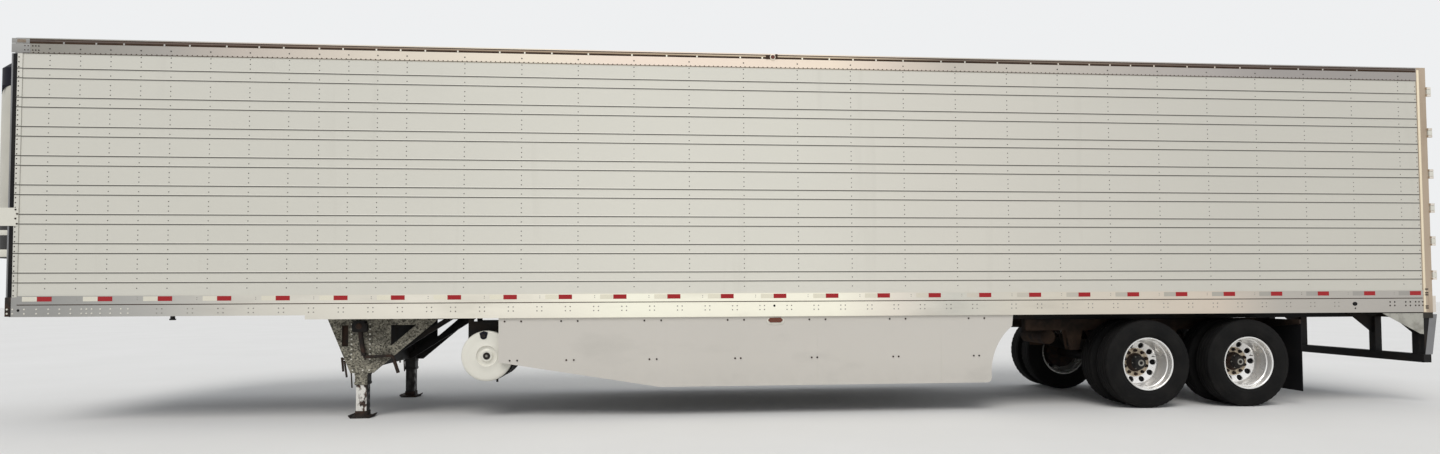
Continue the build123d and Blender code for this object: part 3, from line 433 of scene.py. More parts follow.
def groove_grime_and_shade(colours):
    """Brown-black in grooves and joints: packed dirt, with painted shade under lips and in grooves."""
    return weathered("groove_grime_and_shade", (0.055, 0.033, 0.021), (0.02, 0.014, 0.010), 0.7, 0.9, scale=6.0,
                     cover=(0.45, 0.9), grain=(120.0, 0.2, 0.001), tone=0.25, Specular_IOR_Level=0.1)


def mill_aluminium(colours):
    """Dull extrusion of the corner posts."""
    return weathered("mill_aluminium", (0.22, 0.22, 0.225), (0.11, 0.105, 0.095), 0.42, 0.65, metallic=0.3,
                     scale=1.8, stretch=(0.35, 1, 1.6), cover=(0.52, 1.0), tone=0.12)


def rust_bloom(colours):
    """Brown bleeding from the cap of the nose corner."""
    return weathered("rust_bloom", (0.17, 0.10, 0.06), (0.30, 0.27, 0.22), 0.55, 0.6, scale=9.0,
                     cover=(0.45, 0.7), tone=0.3)


def post_cream(colours):
    """Bright edge strip of the rear posts."""
    return weathered("post_cream", (0.88, 0.76, 0.56), (0.50, 0.38, 0.25), 0.36, 0.6, scale=3.0,
                     stretch=(1, 1, 0.3), cover=(0.6, 1.3), tone=0.05)


def rear_stainless(colours):
    """Brushed stainless, warm with age."""
    return weathered("rear_stainless", colours.frame_tan, (0.28, 0.20, 0.13), 0.36, 0.6, metallic=0.55,
                     scale=3.0, stretch=(1, 1, 0.2), cover=(0.5, 0.95), grain=(180.0, 0.08, 0.0008),
                     tone=0.12, zones=LUG_ZONES, dark_bands=under_sill)


def chassis_black(colours):
    """Black chassis paint under road dust, with rust coming through."""
    return weathered("chassis_black", (0.010, 0.0095, 0.0095), (0.036, 0.026, 0.019), 0.6, 0.9, scale=4.0,
                     cover=(0.48, 0.85), grain=(70.0, 0.25, 0.002), tone=0.3, Specular_IOR_Level=0.2)


def road_rust(colours):
    """Hangers of the tandem: black paint gone to brown rust lower down."""
    return weathered("road_rust", (0.012, 0.010, 0.009), (0.070, 0.045, 0.032), 0.7, 0.92, scale=5.0,
                     cover=(0.40, 0.75), dirt=(0.75, 1.08, 0.8), grain=(60.0, 0.35, 0.003), tone=0.3,
                     Specular_IOR_Level=0.15)


def black_plastic(colours):
    """Moulded cowl, louvres and covers."""
    return weathered("black_plastic", (0.006, 0.006, 0.012), (0.016, 0.016, 0.021), 0.5, 0.7, scale=2.0,
                     cover=(0.5, 1.0), grain=(300.0, 0.15, 0.0006), tone=0.2, Specular_IOR_Level=0.15)


def skirt_sheet(colours):
    """Moulded skirt sheet, scuffed, with splash along its lower edge."""
    return weathered("skirt_sheet", colours.skirt, (0.37, 0.355, 0.32), 0.46, 0.68, scale=2.0,
                     stretch=(0.6, 1, 1.5), cover=(0.56, 1.25), dirt=(0.30, 0.62, 0.22),
                     grain=(1.6, 0.3, 0.012), tone=0.04)


def galvanised(colours):
    """Dull hot-dip zinc with dark spangles and mottling; painted shade keeps it dark, near black facing
    inwards.
    """
    material, tree, shader, where = new_finish("galvanised", metallic=0.1, Specular_IOR_Level=0.3)
    spangle = node(tree, "ShaderNodeTexVoronoi", Scale=70.0)
    tree.links.new(where, spangle.inputs["Vector"])
    grey = node(tree, "ShaderNodeSeparateColor")
    tree.links.new(spangle.outputs["Color"], grey.inputs[0])
    base = tinted(tree, grey.outputs[0], (0.035, 0.032, 0.024), (0.38, 0.355, 0.28))
    blotch = ranged(tree, noise(tree, where, 7.0, 8.0), 0.42, 0.72, 0.0, 0.6)
    worn = tinted(tree, blotch, base, (0.035, 0.030, 0.021))
    # painted shade: the faces that look inwards take a near black
    coated(tree, shader, tinted(tree, outboard(tree), (0.014, 0.013, 0.011), worn),
           ranged(tree, blotch, 0.0, 1.0, 0.5, 0.85))
    roughen(tree, shader, grey.outputs[1], 0.15, 0.0008)
    return material


def dull_zinc(colours):
    """Paler zinc of brackets and small plates."""
    return weathered("dull_zinc", (0.42, 0.41, 0.36), (0.12, 0.11, 0.09), 0.5, 0.8, metallic=0.1, scale=9.0,
                     cover=(0.45, 0.85), grain=(80.0, 0.2, 0.001), tone=0.15)


def worn_steel(colours):
    """Inner leg: bright steel with grease and rust in patches, and painted shade on the faces that look
    inwards.
    """
    material, tree, shader, where = new_finish("worn_steel", metallic=0.25)
    patch = ranged(tree, noise(tree, where, 22.0, 9.0, (1, 1, 0.6), 4.4), 0.44, 0.54)
    speck = ranged(tree, noise(tree, where, 30.0, 6.0, seed=2.0), 0.35, 0.65)
    rust = tinted(tree, speck, (0.018, 0.014, 0.012), (0.10, 0.055, 0.035))
    bright = tinted(tree, patch, (0.74, 0.72, 0.67), rust)
    # painted shade on the faces that look inwards
    coated(tree, shader, tinted(tree, outboard(tree), (0.022, 0.020, 0.018), bright),
           ranged(tree, patch, 0.0, 1.0, 0.34, 0.85))
    roughen(tree, shader, speck, 0.3, 0.001)
    return material


def rusty_iron(colours):
    """Cast and forged iron gone to dark rust."""
    return weathered("rusty_iron", (0.018, 0.014, 0.012), (0.064, 0.036, 0.025), 0.65, 0.9, metallic=0.1,
                     scale=14.0, cover=(0.42, 0.72), grain=(90.0, 0.35, 0.0015), tone=0.3,
                     Specular_IOR_Level=0.25)


def tank_paint(colours):
    """Cream paint on the dished end of the tank."""
    return weathered("tank_paint", colours.tank, (0.48, 0.45, 0.37), 0.3, 0.5, scale=2.4,
                     cover=(0.58, 1.3), grain=(1.8, 0.25, 0.008), tone=0.02)


def black_rubber(colours):
    """Seals, bellows and bumpers."""
    return weathered("black_rubber", (0.008, 0.008, 0.009), (0.022, 0.020, 0.018), 0.7, 0.9, scale=3.0,
                     cover=(0.45, 0.85), grain=(110.0, 0.2, 0.001), tone=0.2, Specular_IOR_Level=0.15)


def tyre_rubber(colours):
    """Tread and sidewall with dust held in the grain."""
    return weathered("tyre_rubber", (0.0068, 0.0067, 0.0067), (0.017, 0.016, 0.015), 0.75, 0.92, scale=5.0,
                     cover=(0.42, 0.80), grain=(160.0, 0.25, 0.001), tone=0.25, Specular_IOR_Level=0.12)


def polished_wheel(colours):
    """Forged aluminium, polished and then weathered to a satin."""
    material, tree, shader, where = new_finish("polished_wheel", metallic=0.6)
    cloud = ranged(tree, noise(tree, where, 5.0, 4.0), 0.50, 1.0)
    coated(tree, shader, tinted(tree, cloud, (0.88, 0.87, 0.85), (0.50, 0.47, 0.41)),
           ranged(tree, cloud, 0.0, 1.0, 0.26, 0.44))
    roughen(tree, shader, noise(tree, where, 40.0, 2.0), 0.03, 0.0003)
    return material


def wheel_face(colours):
    """Mounting face round the hub, browned by brake dust."""
    return weathered("wheel_face", (0.60, 0.51, 0.38), (0.16, 0.10, 0.06), 0.38, 0.65, metallic=0.4,
                     scale=26.0, cover=(0.42, 0.78), grain=(90.0, 0.1, 0.0006), tone=0.15)


def tape_red(colours):
    """Red lengths of the marking tape."""
    return marking_tape("tape_red", colours.tape_red)


def tape_white(colours):
    """Pale lengths of the marking tape, darker towards the rear."""
    return marking_tape("tape_white", colours.tape_white, TAPE_ZONES)


def marking_tape(name, colour, zones=None):
    """Retroreflective sheet: small cells under a clear skin."""
    material, tree, shader, where = new_finish(name, Specular_IOR_Level=0.3)
    cell = node(tree, "ShaderNodeTexVoronoi", Scale=260.0, feature="DISTANCE_TO_EDGE")
    tree.links.new(where, cell.inputs["Vector"])
    edge = ranged(tree, cell.outputs["Distance"], 0.0, 0.16)
    fade = noise(tree, where, 2.2, 3.0)
    pale = [min(value * 1.12 + 0.02, 1.0) for value in colour]
    base = tinted(tree, fade, colour, pale)
    if zones:
        base = shaded(tree, base, along(tree, where, zones))
    faint = ranged(tree, edge, 0.0, 1.0, 0.25, 0.0)
    shade = [value * 0.5 for value in colour]
    coated(tree, shader, tinted(tree, faint, base, shade), ranged(tree, fade, 0.3, 0.7, 0.36, 0.5))
    roughen(tree, shader, edge, 0.12, 0.0003)
    return material


def lens(name, colour):
    """Moulded lamp lens with fine flutes."""
    material, tree, shader, where = new_finish(name, Coat_Weight=0.3)
    flute = node(tree, "ShaderNodeTexWave", Scale=70.0, bands_direction="X")
    tree.links.new(where, flute.inputs["Vector"])
    deep = [value * 0.55 for value in colour]
    coated(tree, shader, tinted(tree, flute.outputs["Fac"], deep, colour),
           ranged(tree, noise(tree, where, 40.0), 0.3, 0.7, 0.12, 0.24))
    roughen(tree, shader, flute.outputs["Fac"], 0.25, 0.0008)
    return material


def red_lens(colours):
    """Tail lamps."""
    return lens("red_lens", (0.30, 0.008, 0.008))


def amber_lens(colours):
    """Side and nose marker lamps."""
    return lens("amber_lens", (0.16, 0.030, 0.006))


def rivet_grime(colours):
    """Rivet heads of the walls, grey with the dirt round them."""
    return weathered("rivet_grime", (0.060, 0.056, 0.050), (0.20, 0.19, 0.165), 0.5, 0.7, scale=1.6,
                     cover=(0.52, 0.74), tone=0.2, Specular_IOR_Level=0.3)


def rivet_metal(colours):
    """Plain heads of rivets and small bolts."""
    return weathered("rivet_metal", (0.30, 0.29, 0.26), (0.12, 0.10, 0.08), 0.4, 0.7, metallic=0.5,
                     scale=18.0, cover=(0.45, 0.8), tone=0.2)


FINISHES = {maker.__name__: maker for maker in (
    panel_enamel, unit_enamel, white_enamel, roof_sheet, rail_enamel, top_metal, strip_metal, groove_grime_and_shade,
    mill_aluminium, rear_stainless, rust_bloom, post_cream, chassis_black, road_rust, black_plastic,
    skirt_sheet, galvanised, dull_zinc, worn_steel, rusty_iron, tank_paint, black_rubber, tyre_rubber,
    polished_wheel, wheel_face, tape_red, tape_white, red_lens, amber_lens, rivet_metal, rivet_grime,
)}
SLOT_FINISH = {
    # material slots whose finish has another name
    "white_panel": "panel_enamel",
    "plain_aluminium": "mill_aluminium",
    "rail_paint": "rail_enamel",
    "stainless_frame": "rear_stainless",
    "white_sheet": "skirt_sheet",
    "tank_aluminium": "tank_paint",
    "hub_iron": "rusty_iron",
}
NODE_FINISH = {
    # nodes whose finish is not their slot's
    "leg_inners": "worn_steel",
    "leg_crank": "chassis_black",
    "leg_feet": "rusty_iron",
    "kingpin": "worn_steel",
    "tank_hangers": "chassis_black",
    "leg_braces": "chassis_black",
    "crossmembers": "mill_aluminium",
    "top_rails": "top_metal",
    "bogie_frame": "road_rust",
    # the air tank takes the dark hanger finish as painted shade, for it lies in the shade under the trailer
    "air_tank": "road_rust",
    "unit_body": "unit_enamel",
    "nose_plates": "white_enamel",
    "dock_bumpers": "rear_stainless",
    "door_gear_left": "white_enamel",
    "door_gear_right": "white_enamel",
}


def finish(name):
    """A finish by name, made on its first use and kept apart from the pack's own materials."""
    made = bpy.data.materials.get(f"finish_{name}")
    if made is None:
        made = FINISHES[name](bpy.context.scene.trailer_colours)
        made.name = f"finish_{name}"
    return made


# Mesh helpers


def round_angles(count):
    """The angles of a full turn in equal steps."""
    return [math.tau * step / count for step in range(count)]


def seat(name, mesh, body, replaced=()):
    """Put a finished mesh in the scene and on its body."""
    made = bpy.data.objects.new(name, mesh)
    bpy.context.scene.collection.objects.link(made)
    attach(made, body)
    if replaced:
        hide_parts(*replaced)
    return made


class Bench:
    """Gathers closed forms into one mesh, each with its own finish."""

    def __init__(self, *finishes):
        self.mesh = bmesh.new()
        self.finishes = finishes

    def mark(self, faces, use):
        """Give faces one of the bench's finishes."""
        for face in faces:
            face.material_index = use

    def softened(self, faces, width):
        """Bevel every edge of some faces and return what they become."""
        edges = list({edge for face in faces for edge in face.edges})
        result = bmesh.ops.bevel(self.mesh, geom=edges, offset=width, segments=2, profile=0.5,
                                 affect="EDGES", clamp_overlap=True)
        return {face for vert in result["verts"] for face in vert.link_faces}

    def block(self, low, high, bevel=0.0, use=0, turn=None):
        """A box between two corners, with bevelled edges, turned about its middle."""
        low, high = Vector(low), Vector(high)
        size, middle = high - low, (high + low) / 2
        place = Matrix.Translation(middle) @ (turn.to_matrix().to_4x4() if turn else Matrix.Identity(4))
        made = bmesh.ops.create_cube(self.mesh, size=1.0, matrix=place @ Matrix.Diagonal((*size, 1.0)))
        faces = {face for vert in made["verts"] for face in vert.link_faces}
        self.mark(self.softened(faces, bevel) if bevel else faces, use)

    def side_block(self, side, ends, skin, heights, bevel=0.0, use=0, face=HALF_WIDTH, turn=None):
        """A block on one side of the trailer. Skin is how far it reaches from the side's face, in and out."""
        inner, outer = sorted(side * (face + reach) for reach in skin)
        self.block((ends[0], inner, heights[0]), (ends[1], outer, heights[1]), bevel, use, turn)

    def side_prism(self, side, outline, skin, use=0, bevel=0.0, face=HALF_WIDTH):
        """An outline of (x, z) points as a plate on one side of the trailer."""
        inner, outer = sorted(side * (face + reach) for reach in skin)
        self.prism(outline, "Y", inner, outer, use, bevel)

    def drum(self, radius, ends, centre, **settings):
        """A plain round form between two ends along its axis."""
        low, high = ends
        self.turned([(0.0, low), (radius, low), (radius, high), (0.0, high)], centre, **settings)

    def turned(self, profile, centre, axis="Y", way=1, steps=32, use=0, notch=None):
        """A closed profile of (radius, along) spun about an axis. Notch is (points, depth, period)."""
        rings = []
        for step, angle in enumerate(round_angles(steps)):
            ring = []
            for index, (radius, along) in enumerate(profile):
                if notch and index in notch[0] and step % notch[2] == 0:
                    radius -= notch[1]
                u, v = radius * math.cos(angle), radius * math.sin(angle)
                point = {"X": (along * way, u, v), "Y": (u, along * way, v), "Z": (u, v, along * way)}[axis]
                ring.append(self.mesh.verts.new(Vector(centre) + Vector(point)))
            rings.append(ring)
        faces = []
        for step, ring in enumerate(rings):
            after = rings[(step + 1) % steps]
            for index in range(len(profile)):
                follow = (index + 1) % len(profile)
                faces.append(self.mesh.faces.new((ring[index], ring[follow], after[follow], after[index])))
        touched = [vert for ring in rings for vert in ring]
        bmesh.ops.remove_doubles(self.mesh, verts=touched, dist=1e-6)
        faces = [face for face in faces if face.is_valid]
        bmesh.ops.recalc_face_normals(self.mesh, faces=faces)
        for face in faces:
            face.smooth = True
        self.mark(faces, use)

    def prism(self, outline, along, low, high, use=0, bevel=0.0):
        """An outline pushed along an axis. Outline points are the other two axes, in order."""

        def point(pair, depth):
            """A point of the outline at one depth."""
            u, v = pair
            return {"X": (depth, u, v), "Y": (u, depth, v), "Z": (u, v, depth)}[along]

        first = [self.mesh.verts.new(point(pair, low)) for pair in outline]
        last = [self.mesh.verts.new(point(pair, high)) for pair in outline]
        count = len(outline)
        faces = [self.mesh.faces.new(first), self.mesh.faces.new(last)]
        for index in range(count):
            follow = (index + 1) % count
            faces.append(self.mesh.faces.new((first[index], first[follow], last[follow], last[index])))
        bmesh.ops.recalc_face_normals(self.mesh, faces=faces)
        self.mark(self.softened(faces, bevel) if bevel else faces, use)

    def tube(self, points, radius, steps=10, use=0):
        """A round bar along straight runs with its corners mitred."""
        points = [Vector(point) for point in points]
        askew = Vector((0.13, 0.31, 0.94))  # a direction that no bar of the trailer follows
        rings = []
        for index, here in enumerate(points):
            before = points[max(index - 1, 0)]
            after = points[min(index + 1, len(points) - 1)]
            along = (after - before).normalized()
            across = along.cross(askew).normalized()
            upright = along.cross(across)
            rings.append([
                self.mesh.verts.new(here + radius * (across * math.cos(angle) + upright * math.sin(angle)))
                for angle in round_angles(steps)
            ])
        faces = [self.mesh.faces.new(rings[0]), self.mesh.faces.new(rings[-1])]
        for ring, after in zip(rings, rings[1:]):
            for k in range(steps):
                m = (k + 1) % steps
                faces.append(self.mesh.faces.new((ring[k], ring[m], after[m], after[k])))
        bmesh.ops.recalc_face_normals(self.mesh, faces=faces)
        for face in faces[2:]:
            face.smooth = True
        self.mark(faces, use)

    def done(self, name, body, replaced=(), sharp=38):
        """Finish the mesh and seat it."""
        mesh = bpy.data.meshes.new(name)
        self.mesh.to_mesh(mesh)
        self.mesh.free()
        for label in self.finishes:
            mesh.materials.append(finish(label))
        mesh.set_sharp_from_angle(angle=math.radians(sharp))
        return seat(name, mesh, body, replaced)


# Geometry Nodes for what repeats


def fastener_tree(kind):
    """A tree that stands one head on each point of a mesh: a domed rivet, a hex bolt or a wheel nut."""
    label = f"{kind}_heads"
    if label in bpy.data.node_groups:
        return bpy.data.node_groups[label]
    tree = bpy.data.node_groups.new(label, "GeometryNodeTree")
    face = tree.interface
    for title, kind_of_value in (("Points", "Geometry"), ("Head radius", "Float"), ("Head rise", "Float"),
                                 ("Facing", "Vector"), ("Finish", "Material")):
        face.new_socket(title, in_out="INPUT", socket_type=f"NodeSocket{kind_of_value}")
    face.new_socket("Heads", in_out="OUTPUT", socket_type="NodeSocketGeometry")
    entry = node(tree, "NodeGroupInput")
    result = node(tree, "NodeGroupOutput")
    link = tree.links.new
    if kind == "rivet":
        head = node(tree, "GeometryNodeMeshUVSphere", Segments=8, Rings=4, Radius=1.0)
    elif kind == "bolt":
        head = node(tree, "GeometryNodeMeshCone", Vertices=6, fill_type="NGON")
        head.inputs["Radius Top"].default_value = 0.92
        head.inputs["Radius Bottom"].default_value = 1.0
        head.inputs["Depth"].default_value = 1.0
    else:
        head = nut_head(tree)
    size = node(tree, "ShaderNodeCombineXYZ")
    shape = node(tree, "GeometryNodeTransform")
    stand = node(tree, "GeometryNodeInstanceOnPoints")
    whole = node(tree, "GeometryNodeRealizeInstances")
    coat = node(tree, "GeometryNodeSetMaterial")
    for axis in (0, 1):
        link(entry.outputs["Head radius"], size.inputs[axis])
    link(entry.outputs["Head rise"], size.inputs[2])
    link(head.outputs[0], shape.inputs["Geometry"])
    link(size.outputs[0], shape.inputs["Scale"])
    link(entry.outputs["Points"], stand.inputs["Points"])
    link(shape.outputs["Geometry"], stand.inputs["Instance"])
    link(entry.outputs["Facing"], stand.inputs["Rotation"])
    link(stand.outputs["Instances"], whole.inputs["Geometry"])
    link(whole.outputs["Geometry"], coat.inputs["Geometry"])
    link(entry.outputs["Finish"], coat.inputs["Material"])
    link(coat.outputs["Geometry"], result.inputs["Heads"])
    return tree


def nut_head(tree):
    """A flanged hex nut with its stud's end, one unit high and wide."""
    join = node(tree, "GeometryNodeJoinGeometry")
    flange = (16, 1.0, 0.88, 0.22, 0.0)
    hexagon = (6, 0.86, 0.80, 0.62, 0.2)
    stud = (10, 0.42, 0.36, 0.5, 0.75)
    for sides, bottom, top, height, base in (flange, hexagon, stud):
        part = node(tree, "GeometryNodeMeshCone", Vertices=sides, fill_type="NGON")
        part.inputs["Radius Bottom"].default_value = bottom
        part.inputs["Radius Top"].default_value = top
        part.inputs["Depth"].default_value = height
        lift = node(tree, "GeometryNodeTransform", Translation=(0, 0, base))
        tree.links.new(part.outputs["Mesh"], lift.inputs["Geometry"])
        tree.links.new(lift.outputs["Geometry"], join.inputs["Geometry"])
    return join


def heads(name, points, facing, body, slot, kind="rivet", coat="rivet_metal", radius=None, rise=None):
    """Fasteners on points, as a plain mesh on its body."""
    sizes = bpy.context.scene.trailer_rivets
    tree = fastener_tree(kind)
    seed = bpy.data.meshes.new(f"{name}_points")
    seed.from_pydata([tuple(point) for point in points], [], [])
    grower = bpy.data.objects.new(f"{name}_grower", seed)
    bpy.context.scene.collection.objects.link(grower)
    modifier = grower.modifiers.new("heads", "NODES")
    modifier.node_group = tree
    values = {
        "Head radius": radius or sizes.head_radius,
        "Head rise": rise or sizes.head_rise,
        "Facing": tuple(facing),
        "Finish": finish(coat),
    }
    for item in tree.interface.items_tree:
        if item.item_type == "SOCKET" and item.in_out == "INPUT" and item.name in values:
            modifier[item.identifier] = values[item.name]
    bpy.context.view_layer.update()
    graph = bpy.context.evaluated_depsgraph_get()
    mesh = bpy.data.meshes.new_from_object(grower.evaluated_get(graph), depsgraph=graph)
    mesh.name = name
    bpy.data.objects.remove(grower)
    return seat(name, mesh, body)


def side_heads(name, side, face, places, slot="plain_aluminium", **look):
    """Fasteners of the box at (x, z) places on one side's face, named for the side."""
    label = {-1: "left", 1: "right"}[side]
    heads(f"{name}_{label}", [(x, side * face, z) for x, z in places], FACING_OUT[side], "box", slot, **look)


def bead_heights():
    """Heights of the pressed beads: what stands furthest out in the panel's own mesh."""
    wall = frame["nodes"]["side_wall_left"].data
    outer = min(vert.co.y for vert in wall.vertices)
    crests = sorted({round(vert.co.z, 3) for vert in wall.vertices if vert.co.y < outer + 0.001})
    beads = []
    for height in crests:
        if not beads or height - beads[-1] > 0.04:
            beads.append(height)
        else:
            beads[-1] = (beads[-1] + height) / 2
    return beads


# Pieces, one operator each


class TRAILER_OT_finishes(bpy.types.Operator):
    """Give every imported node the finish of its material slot"""

    bl_idname = "trailer.finishes"
    bl_label = "Finishes"

    def execute(self, context):
        for entry in frame["record"]["subparts"]:
            name, slot = entry["node"], entry["material_slot"]
            mesh = frame["nodes"][name].data
            mesh.materials.clear()
            mesh.materials.append(finish(NODE_FINISH.get(name) or SLOT_FINISH.get(slot, slot)))
        return {"FINISHED"}


def wall_columns():
    """Stations of the rivet columns, closer together over the coupler."""
    runs = ((0.365, 0.3048, 5), (1.990, 0.4064, 3), (3.119, 0.3078, 3), (4.046, 0.6205, 20))
    return [first + pitch * index for first, pitch, count in runs for index in range(count)]


class TRAILER_OT_wall_rivets(bpy.types.Operator):
    """Rivet columns down both side walls, skipping the beads"""

    bl_idname = "trailer.wall_rivets"
    bl_label = "Wall rivets"

    def execute(self, context):
        sizes = context.scene.trailer_rivets
        beads = bead_heights()
        top = TOP_RAIL_BASE - 0.02
        clear = 0.02  # least height between a rivet and the middle of a bead
        last_column = at(16.06)
        flat = abs(PANEL_FACE) - 0.0042  # the sheet between the beads
        count = int((top - RAIL_TOP) / sizes.wall_pitch)
        heights = [top - sizes.wall_pitch * index for index in range(count)]
        heights = [z for z in heights if min(abs(z - bead) for bead in beads) > clear]
        columns = [(at(s), z) for s in wall_columns() for z in heights]
        for side in (-1, 1):
            side_heads("wall_rivets", side, flat, columns, coat="rivet_grime")
            side_heads("wall_end_rivets", side, flat, [(last_column, z) for z in heights if z < top],
                       coat="rusty_iron")
        return {"FINISHED"}


class TRAILER_OT_rail_rivets(bpy.types.Operator):
    """Rivets of the bottom and top rails"""

    bl_idname = "trailer.rail_rivets"
    bl_label = "Rail rivets"

    def execute(self, context):
        sizes = context.scene.trailer_rivets
        front = (0.057, 0.172, 0.292, 0.410, 0.519, 0.629, 0.736, 0.786, 0.838, 0.923, 1.024, 1.129, 1.200)
        runs = ((1.513, 10), (4.558, 20), (10.916, 14))
        groups = [first + sizes.beam_pitch * index for first, count in runs for index in range(count)]
        rear = (15.64, 15.70, 15.845, 15.905, 15.975, 16.02, 16.07)
        low = (1.190, 1.235)
        step = sizes.close_pitch
        rows = (
            ("rail_rivets", [(at(s + shift), z) for s in groups for shift in (-0.026, 0.026) for z in low],
             "rail_paint", {"radius": 0.0075, "rise": 0.003}),
            ("rail_front_rivets", [(at(s), z) for s in front for z in low],
             "rail_paint", {"coat": "white_enamel", "radius": 0.0095, "rise": 0.006}),
            ("rail_rear_rivets", [(at(s), z) for s in rear for z in (1.194, 1.237)] + [(at(15.185), 1.163)],
             "rail_paint", {"coat": "rusty_iron", "radius": 0.0105, "rise": 0.003}),
            ("rail_top_rivets", [(at(0.69 + 0.6003 * index), z) for index in range(26)
                                 for z in (1.333, 1.353)],
             "rail_paint", {"radius": 0.005}),
            ("top_rail_rivets", [(at(0.15 + step * index), TOP_RAIL_BASE + 0.008)
                                 for index in range(int(15.9 / step))],
             "plain_aluminium", {"coat": "groove_grime_and_shade", "radius": 0.0075}),
            ("top_band_rivets", [(at(s), TOP_RAIL_BASE + 0.053) for s in wall_columns()],
             "plain_aluminium", {"coat": "rivet_grime", "radius": 0.0080, "rise": 0.006}),
        )
        for side in (-1, 1):
            for name, places, slot, look in rows:
                side_heads(name, side, HALF_WIDTH + 0.0002, places, slot, **look)
        return {"FINISHED"}


class TRAILER_OT_tape(bpy.types.Operator):
    """Red and white marking tape along the rails and the guard, and the rails' seam and holes"""

    bl_idname = "trailer.tape"
    bl_label = "Marking tape"

    def execute(self, context):
        tape = context.scene.trailer_tape
        heights = (tape.middle - tape.height / 2, tape.middle + tape.height / 2)
        skin = 0.0007
        for label, side in SIDES:
            bench = Bench("tape_red", "tape_white")
            for index in range(tape.count):
                start = at(tape.first + tape.pitch * index) - tape.length / 2
                bench.side_block(side, (start, start + tape.length), (0, skin), heights)
                bench.side_block(side, (start - tape.length, start), (0, skin), heights, use=1)
            bench.done(f"side_tape_{label}", "box")
            bench = Bench("groove_grime_and_shade", "black_rubber")
            bench.side_block(side, (at(0.10), at(RAIL_END)), (-0.002, 0.0005), (1.2785, 1.2865))
            # round holes of the rail, then its oval one, as black discs of painted shade
            for station, height, radius in ((0.113, 1.225, 0.014), (8.107, 1.233, 0.013)):
                bench.drum(radius, (-0.002, 0.0012), (at(station), side * HALF_WIDTH, height), way=side,
                           steps=24, use=1)
            oval = [(at(15.181) + 0.032 * math.cos(a), 1.217 + 0.024 * math.sin(a)) for a in round_angles(28)]
            bench.side_prism(side, oval, (-0.002, 0.0014), use=1)
            bench.done(f"rail_seam_{label}", "box")
        bench = Bench("tape_red", "tape_white")
        low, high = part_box("rear_guard")
        middle = low.z + 0.05
        count = 8
        width = (high.y - low.y - 0.04) / count
        for index in range(count):
            start = low.y + 0.02 + width * index
            bench.block((high.x, start, middle - 0.025), (high.x + skin, start + width, middle + 0.025),
                        use=index % 2)
        bench.done("guard_tape", "box")
        return {"FINISHED"}


class TRAILER_OT_top_trim(bpy.types.Operator):
    """Strips, dark bands and clips of the top rails, and the lamp ring at mid length"""

    bl_idname = "trailer.top_trim"
    bl_label = "Top rail trim"

    def execute(self, context):
        start, end = at(0.095), at(RAIL_END)
        for label, side in SIDES:
            bench = Bench("groove_grime_and_shade", "strip_metal", "top_metal", "rail_enamel")
            # the dark bands are grime in the grooves with painted shade under the lips
            # from and to below the roof, how proud of the side, finish
            bands = ((0.0605, 0.0395, 0.0004, 0), (0.0395, 0.0225, 0.0014, 1), (0.0225, 0.0125, 0.0006, 0),
                     (0.0125, 0.0005, 0.0018, 2))
            for low, high, proud, use in bands:
                bench.side_block(side, (start, end), (-0.004, proud), (ROOF_TOP - low, ROOF_TOP - high),
                                 0.0006, use)
            bench.side_block(side, (start, end), (-0.003, 0.0006),
                             (TOP_RAIL_BASE + 0.001, TOP_RAIL_BASE + 0.006))
            draw = random.Random(7)
            place = start + 0.4
            while place < end - 0.4:
                bench.side_block(side, (place, place + 0.017), (-0.003, 0.0020),
                                 (ROOF_TOP - 0.060, ROOF_TOP - 0.039), 0.001, 3)
                place += draw.uniform(0.24, 0.50)
            lamp = at(8.106)
            bench.turned([(0.015, 0.0), (0.015, 0.008), (0.019, 0.0115), (0.027, 0.0115), (0.032, 0.007),
                          (0.032, 0.0)], (lamp, side * HALF_WIDTH, ROOF_TOP - 0.04), way=side, use=3)
            for first, last, low, high in ((-0.080, -0.030, 0.062, 0.018), (0.030, 0.056, 0.060, 0.004)):
                bench.side_block(side, (lamp + first, lamp + last), (0, 0.007),
                                 (ROOF_TOP - low, ROOF_TOP - high), 0.003)
            bench.done(f"top_trim_{label}", "box")
        return {"FINISHED"}


